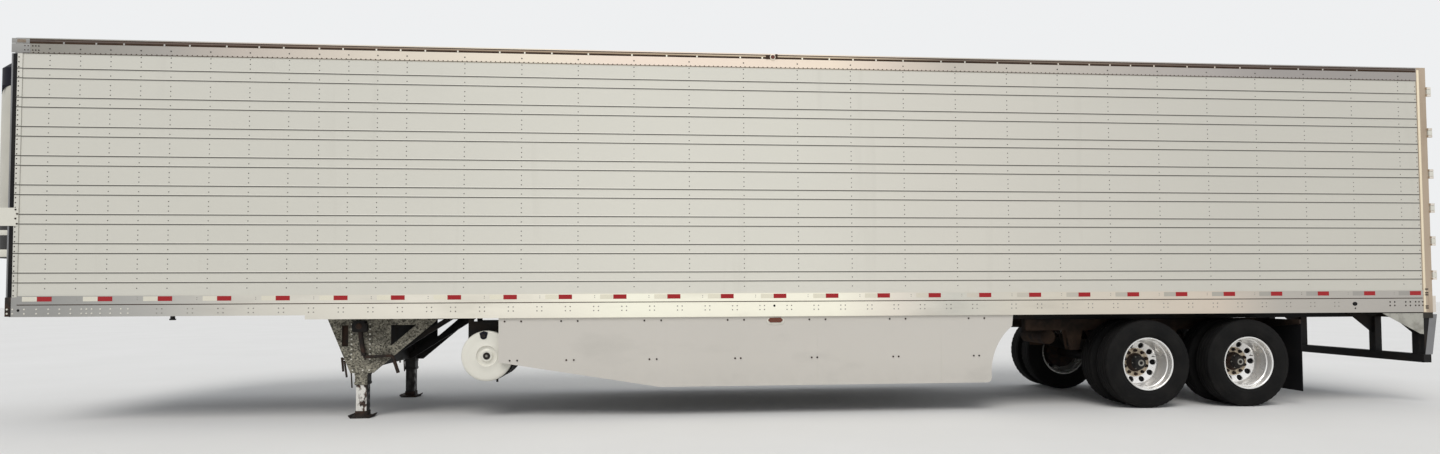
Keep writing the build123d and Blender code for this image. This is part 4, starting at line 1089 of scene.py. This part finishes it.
class TRAILER_OT_corner_trim(bpy.types.Operator):
    """Strips, castings, bead and bolts of the nose corners, and the rear posts' edge strips"""

    bl_idname = "trailer.corner_trim"
    bl_label = "Corner trim"

    def execute(self, context):
        low, high = 1.18, TOP_RAIL_BASE - 0.002
        posts = [(at(0.0625), 1.38 + 0.0515 * index) for index in range(50)]
        ends = [(at(s), z) for s in (0.118, 0.150, 0.195, 0.225, 0.255)
                for z in (TOP_RAIL_BASE + 0.035, TOP_RAIL_BASE + 0.080)]
        plate = [(at(s), z) for s, z in ((0.070, 2.285), (0.085, 2.24), (0.070, 2.19), (0.085, 2.135))]
        for label, side in SIDES:
            bench = Bench("mill_aluminium", "black_rubber", "panel_enamel", "rear_stainless", "post_cream",
                          "rust_bloom", "rusty_iron", "rail_enamel")
            for first, last, proud, use in ((0.048, 0.0975, 0.0018, 2), (0.006, 0.048, 0.0008, 1)):
                bench.side_block(side, (at(first), at(last)), (-0.003, proud), (CASTING_TOP, high), 0.0008,
                                 use)
            bench.drum(0.013, (low, high), (at(-0.004), side * (HALF_WIDTH - 0.0125), 0), axis="Z", steps=20)
            # castings and stain of the nose, then the edge strips of the rear post
            for first, last, base, top, proud, bevel, use in (
                (at(-0.014), at(0.172), TOP_RAIL_BASE + 0.006, ROOF_TOP - 0.060, 0.0022, 0.003, 7),
                (at(-0.014), at(0.165), ROOF_TOP - 0.058, ROOF_TOP - 0.004, 0.0022, 0.008, 7),
                (at(0.040), at(0.130), ROOF_TOP - 0.052, ROOF_TOP - 0.016, 0.0034, 0.006, 5),
                (at(-0.018), at(0.040), 1.160, CASTING_TOP, 0.0034, 0.004, 6),
                (REAR - 0.117, REAR - 0.088, POST_BASE, ROOF_TOP - 0.03, 0.0022, 0.0012, 4),
                (REAR - 0.052, REAR - 0.004, POST_BASE, 1.36, 0.0022, 0.0012, 3),
            ):
                bench.side_block(side, (first, last), (-0.003, proud), (base, top), bevel, use)
            bench.done(f"corner_trim_{label}", "box")
            side_heads("corner_bolts", side, HALF_WIDTH + 0.0033, [(at(0.008), z) for z in (1.192, 1.236)],
                       kind="bolt", coat="white_enamel", radius=0.010, rise=0.006)
            side_heads("post_rivets", side, HALF_WIDTH + 0.002, posts, coat="rusty_iron", radius=0.0075)
            side_heads("cap_rivets", side, HALF_WIDTH + 0.002, ends, coat="rusty_iron", radius=0.0075)
            side_heads("nose_plate_bolts", side, HALF_WIDTH + 0.0065, plate, "chassis_black", kind="bolt",
                       coat="rusty_iron", radius=0.010, rise=0.005)
        return {"FINISHED"}


class TRAILER_OT_skirt_fixings(bpy.types.Operator):
    """Bolts and joints of the side skirts"""

    bl_idname = "trailer.skirt_fixings"
    bl_label = "Skirt fixings"

    def execute(self, context):
        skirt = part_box("side_skirts")
        face = abs(skirt[0].y)
        stations = [5.108, 5.287, 5.723, 5.904]
        stations += [6.642 + 0.9345 * index + shift for index in range(5) for shift in (0.0, 0.187)]
        points = [(at(s), 1.0745) for s in stations]
        for s in (5.205, 5.821, 6.738, 7.692, 8.567, 9.514, 10.467):
            half = 0.041 if s < 7.0 else 0.032
            points += [(at(s - half), 0.643), (at(s + half), 0.643)]
        for label, side in SIDES:
            side_heads("skirt_bolts", side, face + 0.0005, points, "white_sheet", kind="bolt",
                       coat="rusty_iron", radius=0.0110, rise=0.005)
            bench = Bench("skirt_sheet")
            for s in (6.88, 8.60, 10.05):
                bench.side_block(side, (at(s), at(s) + 0.003), (-0.001, 0.0012), (skirt[0].z + 0.02, 1.108),
                                 face=face)
            bench.done(f"skirt_joints_{label}", "box")
        return {"FINISHED"}


class TRAILER_OT_leg_details(bpy.types.Operator):
    """Bolts, collars, foot plates, straps, gearbox cover and crank of the landing gear"""

    bl_idname = "trailer.leg_details"
    bl_label = "Landing gear details"

    def execute(self, context):
        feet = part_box("leg_feet")
        leg_x = (feet[0].x + feet[1].x) / 2
        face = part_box("leg_gussets")[1].y
        columns = [(leg_x + shift, 1.046 - 0.056 * index) for shift in (-0.103, 0.096) for index in range(8)]
        columns += [(leg_x + shift, 0.532) for shift in (-0.090, 0.021, 0.091)]
        for label, side in SIDES:
            side_heads("leg_bolts", side, face, columns, "galvanised", kind="bolt", coat="white_enamel",
                       radius=0.0095, rise=0.012)
            bench = Bench("galvanised", "rusty_iron")
            leg_y = side * 0.905
            for z, half in ((0.385, 0.073), (0.488, 0.072)):
                bench.block((leg_x - half, leg_y - half, z - 0.014), (leg_x + half, leg_y + half, z + 0.014),
                            0.004)
            bench.turned([(0.0, 0.0), (0.125, 0.0), (0.122, 0.014), (0.07, 0.032), (0.045, 0.055),
                          (0.0, 0.055)], (leg_x, leg_y, 0.002), axis="Z", steps=28, use=1)
            # three leaning straps, the bar they hang from and the upright behind it
            for first, last, skin, base, top, bevel, lean in (
                (-0.222, -0.198, (-0.034, -0.026), 0.515, 0.675, 0.002, 0.10),
                (-0.188, -0.166, (-0.034, -0.026), 0.450, 0.640, 0.002, 0.14),
                (-0.119, -0.104, (-0.034, -0.026), 0.333, 0.535, 0.002, 0.06),
                (-0.225, -0.060, (-0.036, -0.024), 0.645, 0.668, 0.003, 0.0),
                (-0.235, -0.130, (-0.048, -0.042), 0.780, 1.060, 0.002, 0.0),
            ):
                bench.side_block(side, (leg_x + first, leg_x + last), skin, (base, top), bevel, 1, face,
                                 Euler((0, -lean, 0)))
            bench.done(f"leg_fittings_{label}", "box")
        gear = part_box("leg_crank")
        bench = Bench("chassis_black", "rusty_iron")
        top, outer = gear[1].z, gear[0].y
        bench.block((leg_x - 0.084, outer + 0.002, top - 0.128), (leg_x + 0.088, outer + 0.070, top - 0.022),
                    0.022)
        bench.turned([(0.0, 0.0), (0.034, 0.0), (0.034, 0.016), (0.026, 0.024), (0.0, 0.024)],
                     (leg_x, outer + 0.012, top - 0.06), way=-1, steps=20, use=1)
        # upper and lower arm of the crank and the bar between them
        for run, radius in (
            (((0.004, 0.125), (0.012, 0.20), (0.036, 0.345), (0.046, 0.385)), 0.025),
            (((0.325, 0.392), (0.352, 0.402), (0.376, 0.455), (0.418, top - gear[0].z + 0.004)), 0.019),
            (((0.060, 0.404), (0.335, 0.391)), 0.0155),
        ):
            bench.tube([(leg_x + shift, outer + 0.040, top - drop) for shift, drop in run], radius, 14, 1)
        bench.done("gearbox_cover", "box")
        return {"FINISHED"}


class TRAILER_OT_tank(bpy.types.Operator):
    """Fuel tank with its dished end, filler, bands and drain plug"""

    bl_idname = "trailer.tank"
    bl_label = "Fuel tank"

    def execute(self, context):
        low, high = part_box("fuel_tank")
        x, z = (low.x + high.x) / 2, (low.z + high.z) / 2
        radius = (high.z - low.z) / 2
        front, length = low.y, high.y - low.y
        middle = (x, front, z)
        bench = Bench("tank_paint", "chassis_black", "rusty_iron", "black_plastic", "rivet_metal")
        face = [(0.0, 0.004), (0.046, 0.004), (0.054, 0.001), (0.060, 0.003), (0.068, 0.016), (0.084, 0.022),
                (0.102, 0.020), (0.109, 0.009), (0.113, 0.0015), (0.118, 0.0), (0.123, 0.003), (0.20, 0.003),
                (radius - 0.03, 0.005), (radius - 0.012, 0.009), (radius - 0.003, 0.018), (radius, 0.030)]
        bench.turned(face + [(radius, 0.038), (0.0, 0.038)], middle, steps=96)
        bench.turned([(0.0, 0.036), (radius - 0.001, 0.036), (radius - 0.001, length - 0.03),
                      (radius - 0.01, length - 0.012), (radius - 0.04, length), (0.0, length)], middle,
                     steps=96, use=1)
        bench.turned([(0.020, -0.003), (0.038, -0.003), (0.040, 0.004), (0.040, 0.010), (0.0, 0.010),
                      (0.0, 0.002)], middle, steps=28, use=1)
        bench.turned([(0.0, -0.008), (0.012, -0.008), (0.016, 0.002), (0.0, 0.002)], middle, steps=16, use=4)
        neck = x - 0.033
        arch = [(neck + 0.036 * math.cos(a), z + radius - 0.066 - 0.030 * math.sin(a))
                for a in (math.pi * k / 12 for k in range(13))]
        outline = arch + [(neck - 0.046, z + radius - 0.024), (neck, z + radius - 0.005),
                          (neck + 0.046, z + radius - 0.018)]
        bench.prism(outline, "Y", front - 0.0015, front + 0.014, use=3)
        bench.turned([(0.0, -0.012), (0.018, -0.012), (0.021, -0.006), (0.021, 0.006), (0.0, 0.006)],
                     (neck, front, z + radius - 0.056), steps=24, use=2)
        bench.drum(0.012, (-0.02, 0.02), (x + 0.10, front + 0.10, z - radius + 0.004), axis="Z", steps=12,
                   use=1)
        for share in (0.27, 0.76):
            place = length * share
            bench.turned([(radius + 0.0005, place - 0.03), (radius + 0.004, place - 0.03),
                          (radius + 0.004, place + 0.03), (radius + 0.0005, place + 0.03)], middle, steps=64,
                         use=1)
        bench.done("fuel_tank_dressed", "box", ("fuel_tank",))
        return {"FINISHED"}


def wheel_disc(bench, centre, way, holes, low, high, thick):
    """A dished ring between two (radius, along) rims with round hand holes right through it."""
    span = math.tau / holes
    steps = 24
    middle = (low[0] + high[0]) / 2
    hole = min((high[0] - low[0]) * 0.43, 0.034)

    def place(radius, angle, lift):
        """A point of the dished disc."""
        share = (radius - low[0]) / (high[0] - low[0])
        along = low[1] + share * (high[1] - low[1]) + lift
        return Vector(centre) + Vector((radius * math.cos(angle), along * way, radius * math.sin(angle)))

    faces = []
    for index in range(holes):
        turn = span * index
        layers = []
        for lift in (0.0, -thick):
            inner, outer = [], []
            for a in round_angles(steps):
                u, v = math.cos(a), math.sin(a)
                inner.append(bench.mesh.verts.new(place(middle + hole * u, turn + hole * v / middle, lift)))
                reach = max(abs(u), abs(v))
                radius = middle + (high[0] - low[0]) / 2 * u / reach
                outer.append(bench.mesh.verts.new(place(radius, turn + span / 2 * v / reach, lift)))
            layers.append((inner, outer))
        for (inner, outer), flip in zip(layers, (False, True)):
            for k in range(steps):
                m = (k + 1) % steps
                ring = (inner[k], outer[k], outer[m], inner[m])
                faces.append(bench.mesh.faces.new(ring[::-1] if flip else ring))
        for k in range(steps):
            m = (k + 1) % steps
            faces.append(bench.mesh.faces.new((layers[0][0][k], layers[0][0][m], layers[1][0][m],
                                               layers[1][0][k])))
    verts = list({vert for face in faces for vert in face.verts})
    bmesh.ops.remove_doubles(bench.mesh, verts=verts, dist=2e-5)
    faces = [face for face in faces if face.is_valid]
    bmesh.ops.recalc_face_normals(bench.mesh, faces=faces)
    for face in faces:
        face.smooth = True
    bench.mark(faces, 0)


class TRAILER_OT_wheels(bpy.types.Operator):
    """Twin tyres, forged wheels, nuts, hubs and drums"""

    bl_idname = "trailer.wheels"
    bl_label = "Wheels"

    def execute(self, context):
        sizes = context.scene.trailer_wheels
        for place in WHEEL_PLACES:
            low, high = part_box(f"rims_{place}")
            side = 1 if low.y > 0 else -1
            centre = Vector([(a + b) / 2 for a, b in zip(low, high)])
            self.tyres(sizes, place, centre)
            self.rims(sizes, place, centre, side, (high.y - low.y) / 2)
            self.hub(place, centre, side)
        return {"FINISHED"}

    def tyres(self, sizes, place, centre):
        """Two grooved tyres side by side."""
        low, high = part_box(f"tyres_{place}")
        radius = (high.z - low.z) / 2
        half = 0.1375
        deep = radius - sizes.groove
        spread = (high.y - low.y) / 2 - half
        right = [(radius, 0.019), (deep, 0.022), (deep, 0.030), (radius, 0.033), (radius - 0.0005, 0.067),
                 (deep, 0.070), (deep, 0.079), (radius - 0.0008, 0.082), (radius - 0.003, 0.103),
                 (radius - 0.010, 0.1085), (radius - 0.030, 0.1165), (radius - 0.050, 0.1255),
                 (radius - 0.056, 0.1290), (radius - 0.060, 0.1280), (radius - 0.085, 0.1355),
                 (radius - 0.115, half), (radius - 0.140, 0.1355), (radius - 0.165, 0.1285),
                 (radius - 0.172, 0.1290), (radius - 0.178, 0.1245), (radius - 0.195, 0.1160),
                 (radius - 0.205, 0.1090), (radius - 0.209, 0.1000)]
        profile = [(r, -a) for r, a in reversed(right)] + right
        shoulder = [index for index, (r, a) in enumerate(profile)
                    if 0.100 < abs(a) < 0.112 and r > radius - 0.02]
        bench = Bench("tyre_rubber")
        middle = (high.y + low.y) / 2
        for way in (-1, 1):
            bench.turned(profile, (centre.x, middle + way * spread, centre.z), steps=sizes.steps,
                         notch=(shoulder, 0.0045, 2))
        bench.done(f"tyres_dressed_{place}", f"wheels_{place}", (f"tyres_{place}",), 30)

    def rims(self, sizes, place, centre, side, edge):
        """Both rims with discs, the valve and the nuts."""
        bench = Bench("polished_wheel", "rusty_iron", "black_rubber", "wheel_face")
        for way in (side, -side):
            outer_skin = [(0.3105, edge), (0.302, edge), (0.296, edge - 0.004), (0.2935, edge - 0.014),
                          (0.2900, edge - 0.040), (0.2870, edge - 0.066), (0.2780, edge - 0.074),
                          (0.2740, edge - 0.120), (0.2690, edge - 0.132), (0.2650, edge - 0.190),
                          (0.2580, edge - 0.222), (0.2500, edge - 0.232)]
            inner_skin = [(0.2500, edge - 0.254), (0.2680, edge - 0.250), (0.2860, edge - 0.225),
                          (0.3105, edge - 0.222)]
            bench.turned(outer_skin + inner_skin, centre, way=way, steps=80)
            wheel_disc(bench, centre, way, sizes.hand_holes, (0.172, 0.026), (0.2505, edge - 0.233), 0.018)
            bench.turned([(0.1725, 0.026), (0.1725, 0.002), (0.112, 0.002), (0.112, 0.024), (0.118, 0.026)],
                         centre, way=way, steps=60, use=3)
            bench.turned([(0.182, 0.003), (0.182, 0.009), (0.252, 0.022), (0.252, 0.016)], centre, way=way,
                         steps=48, use=2)

        def around(radius, angle, out):
            """A point on a circle about the axle."""
            return centre + Vector((radius * math.cos(angle), side * out, radius * math.sin(angle)))

        bench.tube([around(0.215, 0.31, 0.040), around(0.222, 0.31, 0.085)], 0.0045, 8, 1)
        bench.done(f"rims_dressed_{place}", f"wheels_{place}", (f"rims_{place}",), 28)
        points = [around(sizes.nut_circle, math.tau * (index + 0.5) / sizes.nuts, 0.028)
                  for index in range(sizes.nuts)]
        heads(f"wheel_nuts_{place}", points, FACING_OUT[side], f"wheels_{place}", "hub_iron", kind="nut",
              coat="rusty_iron", radius=0.0215, rise=0.030)

    def hub(self, place, centre, side):
        """Drum, hub, cap and the cap's bolts."""
        low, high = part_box(f"hub_{place}")
        outer = max(abs(low.y), abs(high.y)) - abs(centre.y)
        inner = abs(centre.y) - min(abs(low.y), abs(high.y))
        drum = (high.z - low.z) / 2
        bench = Bench("rusty_iron", "chassis_black", "rivet_metal")
        bench.turned([(0.046, 0.03), (0.046, -inner), (drum, -inner), (drum, -inner + 0.012),
                      (drum - 0.006, -inner + 0.018), (drum - 0.006, -0.030), (drum - 0.03, -0.012),
                      (0.170, -0.002), (0.110, 0.0), (0.110, 0.028), (0.100, 0.034), (0.094, 0.060),
                      (0.084, 0.078), (0.084, 0.090), (0.046, 0.090)], centre, way=side, steps=60)
        bench.turned([(0.0, 0.084), (0.088, 0.084), (0.088, 0.094), (0.078, 0.098), (0.073, 0.124),
                      (0.060, outer - 0.012), (0.046, outer - 0.004), (0.0, outer - 0.004)], centre, way=side,
                     steps=40, use=1)
        bench.turned([(0.022, outer - 0.008), (0.040, outer - 0.008), (0.038, outer - 0.002), (0.030, outer),
                      (0.022, outer - 0.002)], centre, way=side, steps=28, use=2)
        bench.done(f"hub_dressed_{place}", f"wheels_{place}", (f"hub_{place}",))
        points = [centre + Vector((0.080 * math.cos(a), side * 0.097, 0.080 * math.sin(a)))
                  for a in round_angles(6)]
        heads(f"hub_bolts_{place}", points, FACING_OUT[side], f"wheels_{place}", "hub_iron", kind="bolt",
              coat="rivet_metal", radius=0.008, rise=0.008)


class TRAILER_OT_running_gear(bpy.types.Operator):
    """Bellows, brake chambers and dampers of the tandem"""

    bl_idname = "trailer.running_gear"
    bl_label = "Running gear"

    def execute(self, context):
        low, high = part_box("air_springs")
        spacing = 1.263  # between the axles
        radius = 0.118  # of one spring
        height = high.z - low.z
        belt = height * 0.56
        bench = Bench("black_rubber", "rusty_iron")
        profile = [(0.0, 0.0), (0.080, 0.0), (0.084, 0.030), (0.092, 0.060), (0.108, 0.075)]
        for lobe in (0.36, 0.76):
            for k in range(9):
                a = math.pi * (k / 8) - math.pi / 2
                profile.append((0.088 + 0.030 * math.cos(a), height * lobe + height * 0.18 * math.sin(a)))
        profile += [(0.085, height - 0.012), (0.085, height), (0.0, height)]
        for x in (low.x + radius, low.x + radius + spacing):
            for side in (-1, 1):
                where = (x, side * (high.y - radius), low.z)
                bench.turned(profile, where, axis="Z", steps=40)
                bench.turned([(0.088, belt - 0.006), (0.0945, belt - 0.006), (0.0945, belt + 0.006),
                              (0.088, belt + 0.006)], where, axis="Z", use=1)
        bench.done("air_springs_dressed", "bogie", ("air_springs",))
        low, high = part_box("brake_chambers")
        bench = Bench("chassis_black", "rusty_iron")
        for x in (low.x + 0.085, high.x - 0.085):
            for side in (-1, 1):
                where = (x, side * (high.y - 0.082), (low.z + high.z) / 2)
                bench.turned([(0.0, -0.085), (0.060, -0.085), (0.074, -0.070), (0.076, -0.014),
                              (0.082, -0.012), (0.082, 0.012), (0.076, 0.014), (0.074, 0.066),
                              (0.058, 0.085), (0.0, 0.085)], where, axis="X", steps=36)
                bench.turned([(0.0765, -0.009), (0.0815, -0.009), (0.0815, 0.009), (0.0765, 0.009)], where,
                             axis="X", steps=36, use=1)
        bench.done("brake_chambers_dressed", "bogie", ("brake_chambers",))
        bench = Bench("chassis_black", "rusty_iron")
        for axle_x in (4.634, 5.897):
            for side in (-1, 1):
                foot = Vector((axle_x - 0.10, side * 0.385, 0.60))
                head = Vector((axle_x - 0.30, side * 0.385, 0.93))
                bench.tube([foot, foot.lerp(head, 0.55)], 0.033, 14, 0)
                bench.tube([foot.lerp(head, 0.5), head], 0.024, 14, 1)
        bench.done("dampers", "bogie")
        return {"FINISHED"}


class TRAILER_OT_rear_gear(bpy.types.Operator):
    """Seals and strap plates of the doors, bolts of bumpers and flaps, and the guard's side plates"""

    bl_idname = "trailer.rear_gear"
    bl_label = "Rear gear"

    def execute(self, context):
        for label, side in SIDES:
            self.door(label, side)
        self.bumpers()
        self.guard()
        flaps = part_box("mud_flaps")
        for label, side in SIDES:
            outer = side * (flaps[1].y - 0.03)
            points = [(flaps[0].x - 0.001, outer - side * 0.09 * k, flaps[1].z - 0.035) for k in range(7)]
            heads(f"flap_bolts_{label}", points, FACING_FORE, "bogie", "chassis_black", kind="bolt",
                  coat="rusty_iron", radius=0.012, rise=0.006)
        return {"FINISHED"}

    def door(self, label, side):
        """Seal round one door, its strap plates and their bolts."""
        low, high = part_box(f"door_{label}")
        gear_low, gear_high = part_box(f"door_gear_{label}")
        bench = Bench("black_rubber", "galvanised")
        face = high.x
        rim = 0.011
        for a, b in (((low.y, low.z), (high.y, low.z + rim)), ((low.y, high.z - rim), (high.y, high.z)),
                     ((low.y, low.z), (low.y + rim, high.z)), ((high.y - rim, low.z), (high.y, high.z))):
            bench.block((face - 0.004, *a), (face + 0.0022, *b), 0.001)
        edge = HALF_WIDTH - 0.003
        for share in (0.13, 0.38, 0.63, 0.88):
            z = low.z + (high.z - low.z) * share
            for distance in (0.33, 0.86):
                y = side * (edge - distance)
                bench.block((face, y - 0.055, z - 0.022), (face + 0.006, y + 0.055, z + 0.022), 0.0015, 1)
        bench.done(f"door_seals_{label}", f"rear_door_{label}")
        points = []
        for share in (0, 0.185, 0.364, 0.55, 0.775, 1):
            z = gear_low.z + 0.246 + share * (gear_high.z - gear_low.z - 0.44)
            points += [(gear_low.x + 0.0105, side * (edge - distance), z + shift)
                       for distance in (0.16, 0.22, 0.28) for shift in (-0.014, 0.014)]
        heads(f"strap_bolts_{label}", points, FACING_BACK, f"rear_door_{label}", "galvanised", kind="bolt",
              coat="rivet_metal", radius=0.009, rise=0.006)

    def bumpers(self):
        """Bolts of the dock bumpers."""
        low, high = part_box("dock_bumpers")
        points = [(high.x - 0.004, side * (high.y - 0.075 + across), low.z + up)
                  for side in (-1, 1) for across in (-0.04, 0.04) for up in (0.05, 0.15)]
        heads("bumper_bolts", points, FACING_BACK, "box", "black_rubber", kind="bolt", coat="rusty_iron",
              radius=0.014, rise=0.004)

    def guard(self):
        """Side plates of the rear guard and lugs of the rear posts."""
        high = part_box("rear_guard")[1]
        bench = Bench("mill_aluminium", "dull_zinc", "rusty_iron", "chassis_black")
        for side in (-1, 1):
            # bracket above the guard, slanted strip and the web behind it
            for outline, proud, use in (
                (((-0.625, 1.100), (-0.090, 1.100), (-0.092, 0.845), (-0.135, 0.850)), 0.003, 1),
                (((-0.007, 1.086), (0.090, 1.086), (0.015, 0.598), (-0.080, 0.598)), 0.003, 0),
                (((-0.085, 1.084), (0.050, 1.084), (-0.020, 0.602), (-0.085, 0.602)), 0.001, 3),
            ):
                bench.side_prism(side, [(high.x + x, z) for x, z in outline], (-0.002, proud), use,
                                 face=high.y)
            for height in (1.155, 1.180, 1.315, 1.340, 1.385):
                bench.side_block(side, (REAR - 0.098, REAR - 0.062), (0.004, 0.0105),
                                 (height, height + 0.013), 0.002, 2)
        bench.done("guard_plates", "box")


class TRAILER_OT_unit_details(bpy.types.Operator):
    """Grille slats, latches, corner covers and plates of the cooling unit"""

    bl_idname = "trailer.unit_details"
    bl_label = "Cooling unit details"

    def execute(self, context):
        low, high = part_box("unit_body")
        bench = Bench("black_plastic", "rivet_metal", "white_enamel")
        half = 0.55
        for index in range(14):
            z = low.z + 0.20 + 0.032 * index
            bench.block((low.x + 0.004, -half, z), (low.x + 0.024, half, z + 0.010), 0.002, 0,
                        Euler((0, -0.5, 0)))
        edge, top, bow = low.x + 0.088, high.z, 0.10
        arc = [(edge + bow - bow * math.cos(a), top - bow + bow * math.sin(a))
               for a in (math.pi * k / 20 for k in range(11))]
        for side in (-1, 1):
            for z in (low.z + 0.35, low.z + 1.05, low.z + 1.60):
                bench.side_block(side, (low.x + 0.24, low.x + 0.30), (-0.004, -0.0002), (z, z + 0.09), 0.002,
                                 1, high.y)
            bench.side_prism(side, [(edge, top + 0.001)] + arc[::-1], (-0.003, 0.002), face=high.y)
            for base, head in ((2.035, 2.090), (1.800, 1.880)):
                bench.side_block(side, (edge, edge + 0.11), (-0.003, 0.002), (base, head), 0.001, 2, high.y)
        bench.done("unit_details", "box")
        return {"FINISHED"}


class TRAILER_OT_lamps(bpy.types.Operator):
    """Rings round the marker lamps of the skirts"""

    bl_idname = "trailer.lamps"
    bl_label = "Lamp bezels"

    def execute(self, context):
        bench = Bench("white_enamel")
        face = abs(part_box("side_skirts")[0].y)
        ring = []
        for a in round_angles(24):
            bulge = max(abs(math.cos(a)), abs(math.sin(a))) ** 0.35
            ring.append((at(8.121) + 0.100 * math.cos(a) / bulge, 1.061 + 0.044 * math.sin(a) / bulge))
        for side in (-1, 1):
            bench.side_prism(side, ring, (0, 0.005), bevel=0.001, face=face)
        bench.done("side_lamp_bezels", "box")
        return {"FINISHED"}


class TRAILER_OT_stage(bpy.types.Operator):
    """Floor, even sky, soft lamps and the camera"""

    bl_idname = "trailer.stage"
    bl_label = "Stage"

    def execute(self, context):
        studio = context.scene.trailer_studio
        self.floor()
        self.sky(context.scene, studio.sky)
        turn = (math.radians(38), 0, math.radians(-18))
        self.lamp("main_lamp", studio.sun, turn, softness=35)
        self.camera(context.scene, studio)
        context.scene.view_settings.view_transform = "Standard"
        return {"FINISHED"}

    def floor(self):
        """A wide pale floor that isn't part of the trailer."""
        mesh = bpy.data.meshes.new("stage_floor")
        reach = 90  # metres, so that the floor fills the picture
        corners = [(-reach, -reach, 0), (reach, -reach, 0), (reach, reach, 0), (-reach, reach, 0)]
        mesh.from_pydata(corners, [], [(0, 1, 2, 3)])
        material, tree, shader, where = new_finish("pale_floor")
        shade = tinted(tree, noise(tree, where, 0.6, 6.0), (0.72, 0.715, 0.70), (0.78, 0.775, 0.765))
        tree.links.new(shade, shader.inputs["Base Color"])
        shader.inputs["Roughness"].default_value = 0.85
        mesh.materials.append(material)
        floor = bpy.data.objects.new("stage_floor", mesh)
        bpy.context.scene.collection.objects.link(floor)

    def sky(self, scene, strength):
        """Even light, shown to the camera as a plain pale grey."""
        world = bpy.data.worlds.new("studio_sky")
        world.use_nodes = True
        scene.world = world
        tree = world.node_tree
        tree.nodes.clear()
        path = node(tree, "ShaderNodeLightPath")
        seen = maths(tree, path.outputs["Is Camera Ray"], path.outputs["Is Glossy Ray"], "MAXIMUM")
        seen = maths(tree, seen, path.outputs["Is Transmission Ray"], "MAXIMUM")
        lit = node(tree, "ShaderNodeBackground", Color=(0.93, 0.96, 1.0, 1.0), Strength=strength)
        shown = node(tree, "ShaderNodeBackground", Color=(0.86, 0.87, 0.88, 1.0), Strength=1.0)
        blend = node(tree, "ShaderNodeMixShader")
        end = node(tree, "ShaderNodeOutputWorld")
        tree.links.new(seen, blend.inputs[0])
        tree.links.new(lit.outputs[0], blend.inputs[1])
        tree.links.new(shown.outputs[0], blend.inputs[2])
        tree.links.new(blend.outputs[0], end.inputs["Surface"])

    def lamp(self, name, strength, turn, softness):
        """A sun with soft edges."""
        light = bpy.data.lights.new(name, "SUN")
        light.energy = strength
        light.color = (1.0, 0.975, 0.94)
        light.angle = math.radians(softness)
        lamp = bpy.data.objects.new(name, light)
        lamp.rotation_euler = turn
        bpy.context.scene.collection.objects.link(lamp)

    def camera(self, scene, studio):
        """The camera, level but for a small roll."""
        yaw, pitch, roll = studio.yaw, studio.pitch, studio.roll
        ahead = Vector((math.sin(yaw) * math.cos(pitch), math.cos(yaw) * math.cos(pitch), math.sin(pitch)))
        right = Vector((math.cos(yaw), -math.sin(yaw), 0))
        above = right.cross(ahead)
        across = right * math.cos(roll) + above * math.sin(roll)
        upright = above * math.cos(roll) - right * math.sin(roll)
        turn = Matrix((across, upright, -ahead)).transposed().to_4x4()
        lens_data = bpy.data.cameras.new("camera")
        lens_data.lens = studio.lens
        lens_data.sensor_width = 36
        lens_data.shift_y = studio.rise
        lens_data.clip_end = 500
        camera = bpy.data.objects.new("camera", lens_data)
        camera.matrix_world = Matrix.Translation(studio.eye) @ turn
        scene.collection.objects.link(camera)
        scene.camera = camera


OPERATORS = (
    TRAILER_OT_finishes, TRAILER_OT_wall_rivets, TRAILER_OT_rail_rivets, TRAILER_OT_tape,
    TRAILER_OT_top_trim, TRAILER_OT_corner_trim, TRAILER_OT_skirt_fixings, TRAILER_OT_leg_details,
    TRAILER_OT_tank, TRAILER_OT_wheels, TRAILER_OT_running_gear, TRAILER_OT_rear_gear,
    TRAILER_OT_unit_details, TRAILER_OT_lamps, TRAILER_OT_stage,
)


class TRAILER_PT_sidebar(bpy.types.Panel):
    """The trailer's pieces and sizes"""

    bl_label = "Trailer"
    bl_idname = "TRAILER_PT_sidebar"
    bl_space_type = "VIEW_3D"
    bl_region_type = "UI"
    bl_category = "Trailer"

    def draw(self, context):
        for operator in OPERATORS:
            self.layout.operator(operator.bl_idname)
        for name, group in GROUPS.items():
            box = self.layout.box()
            for prop in group.__annotations__:
                box.prop(getattr(context.scene, name), prop)


def register():
    for group in GROUPS.values():
        bpy.utils.register_class(group)
    for name, group in GROUPS.items():
        setattr(bpy.types.Scene, name, PointerProperty(type=group))
    for entry in (*OPERATORS, TRAILER_PT_sidebar):
        bpy.utils.register_class(entry)


def unregister():
    for entry in reversed((*OPERATORS, TRAILER_PT_sidebar)):
        bpy.utils.unregister_class(entry)
    for name, group in reversed(GROUPS.items()):
        delattr(bpy.types.Scene, name)
        bpy.utils.unregister_class(group)


def main():
    register()
    for operator in OPERATORS:
        getattr(bpy.ops.trailer, operator.bl_idname.split(".")[1])()


if __name__ == "__main__":
    main()
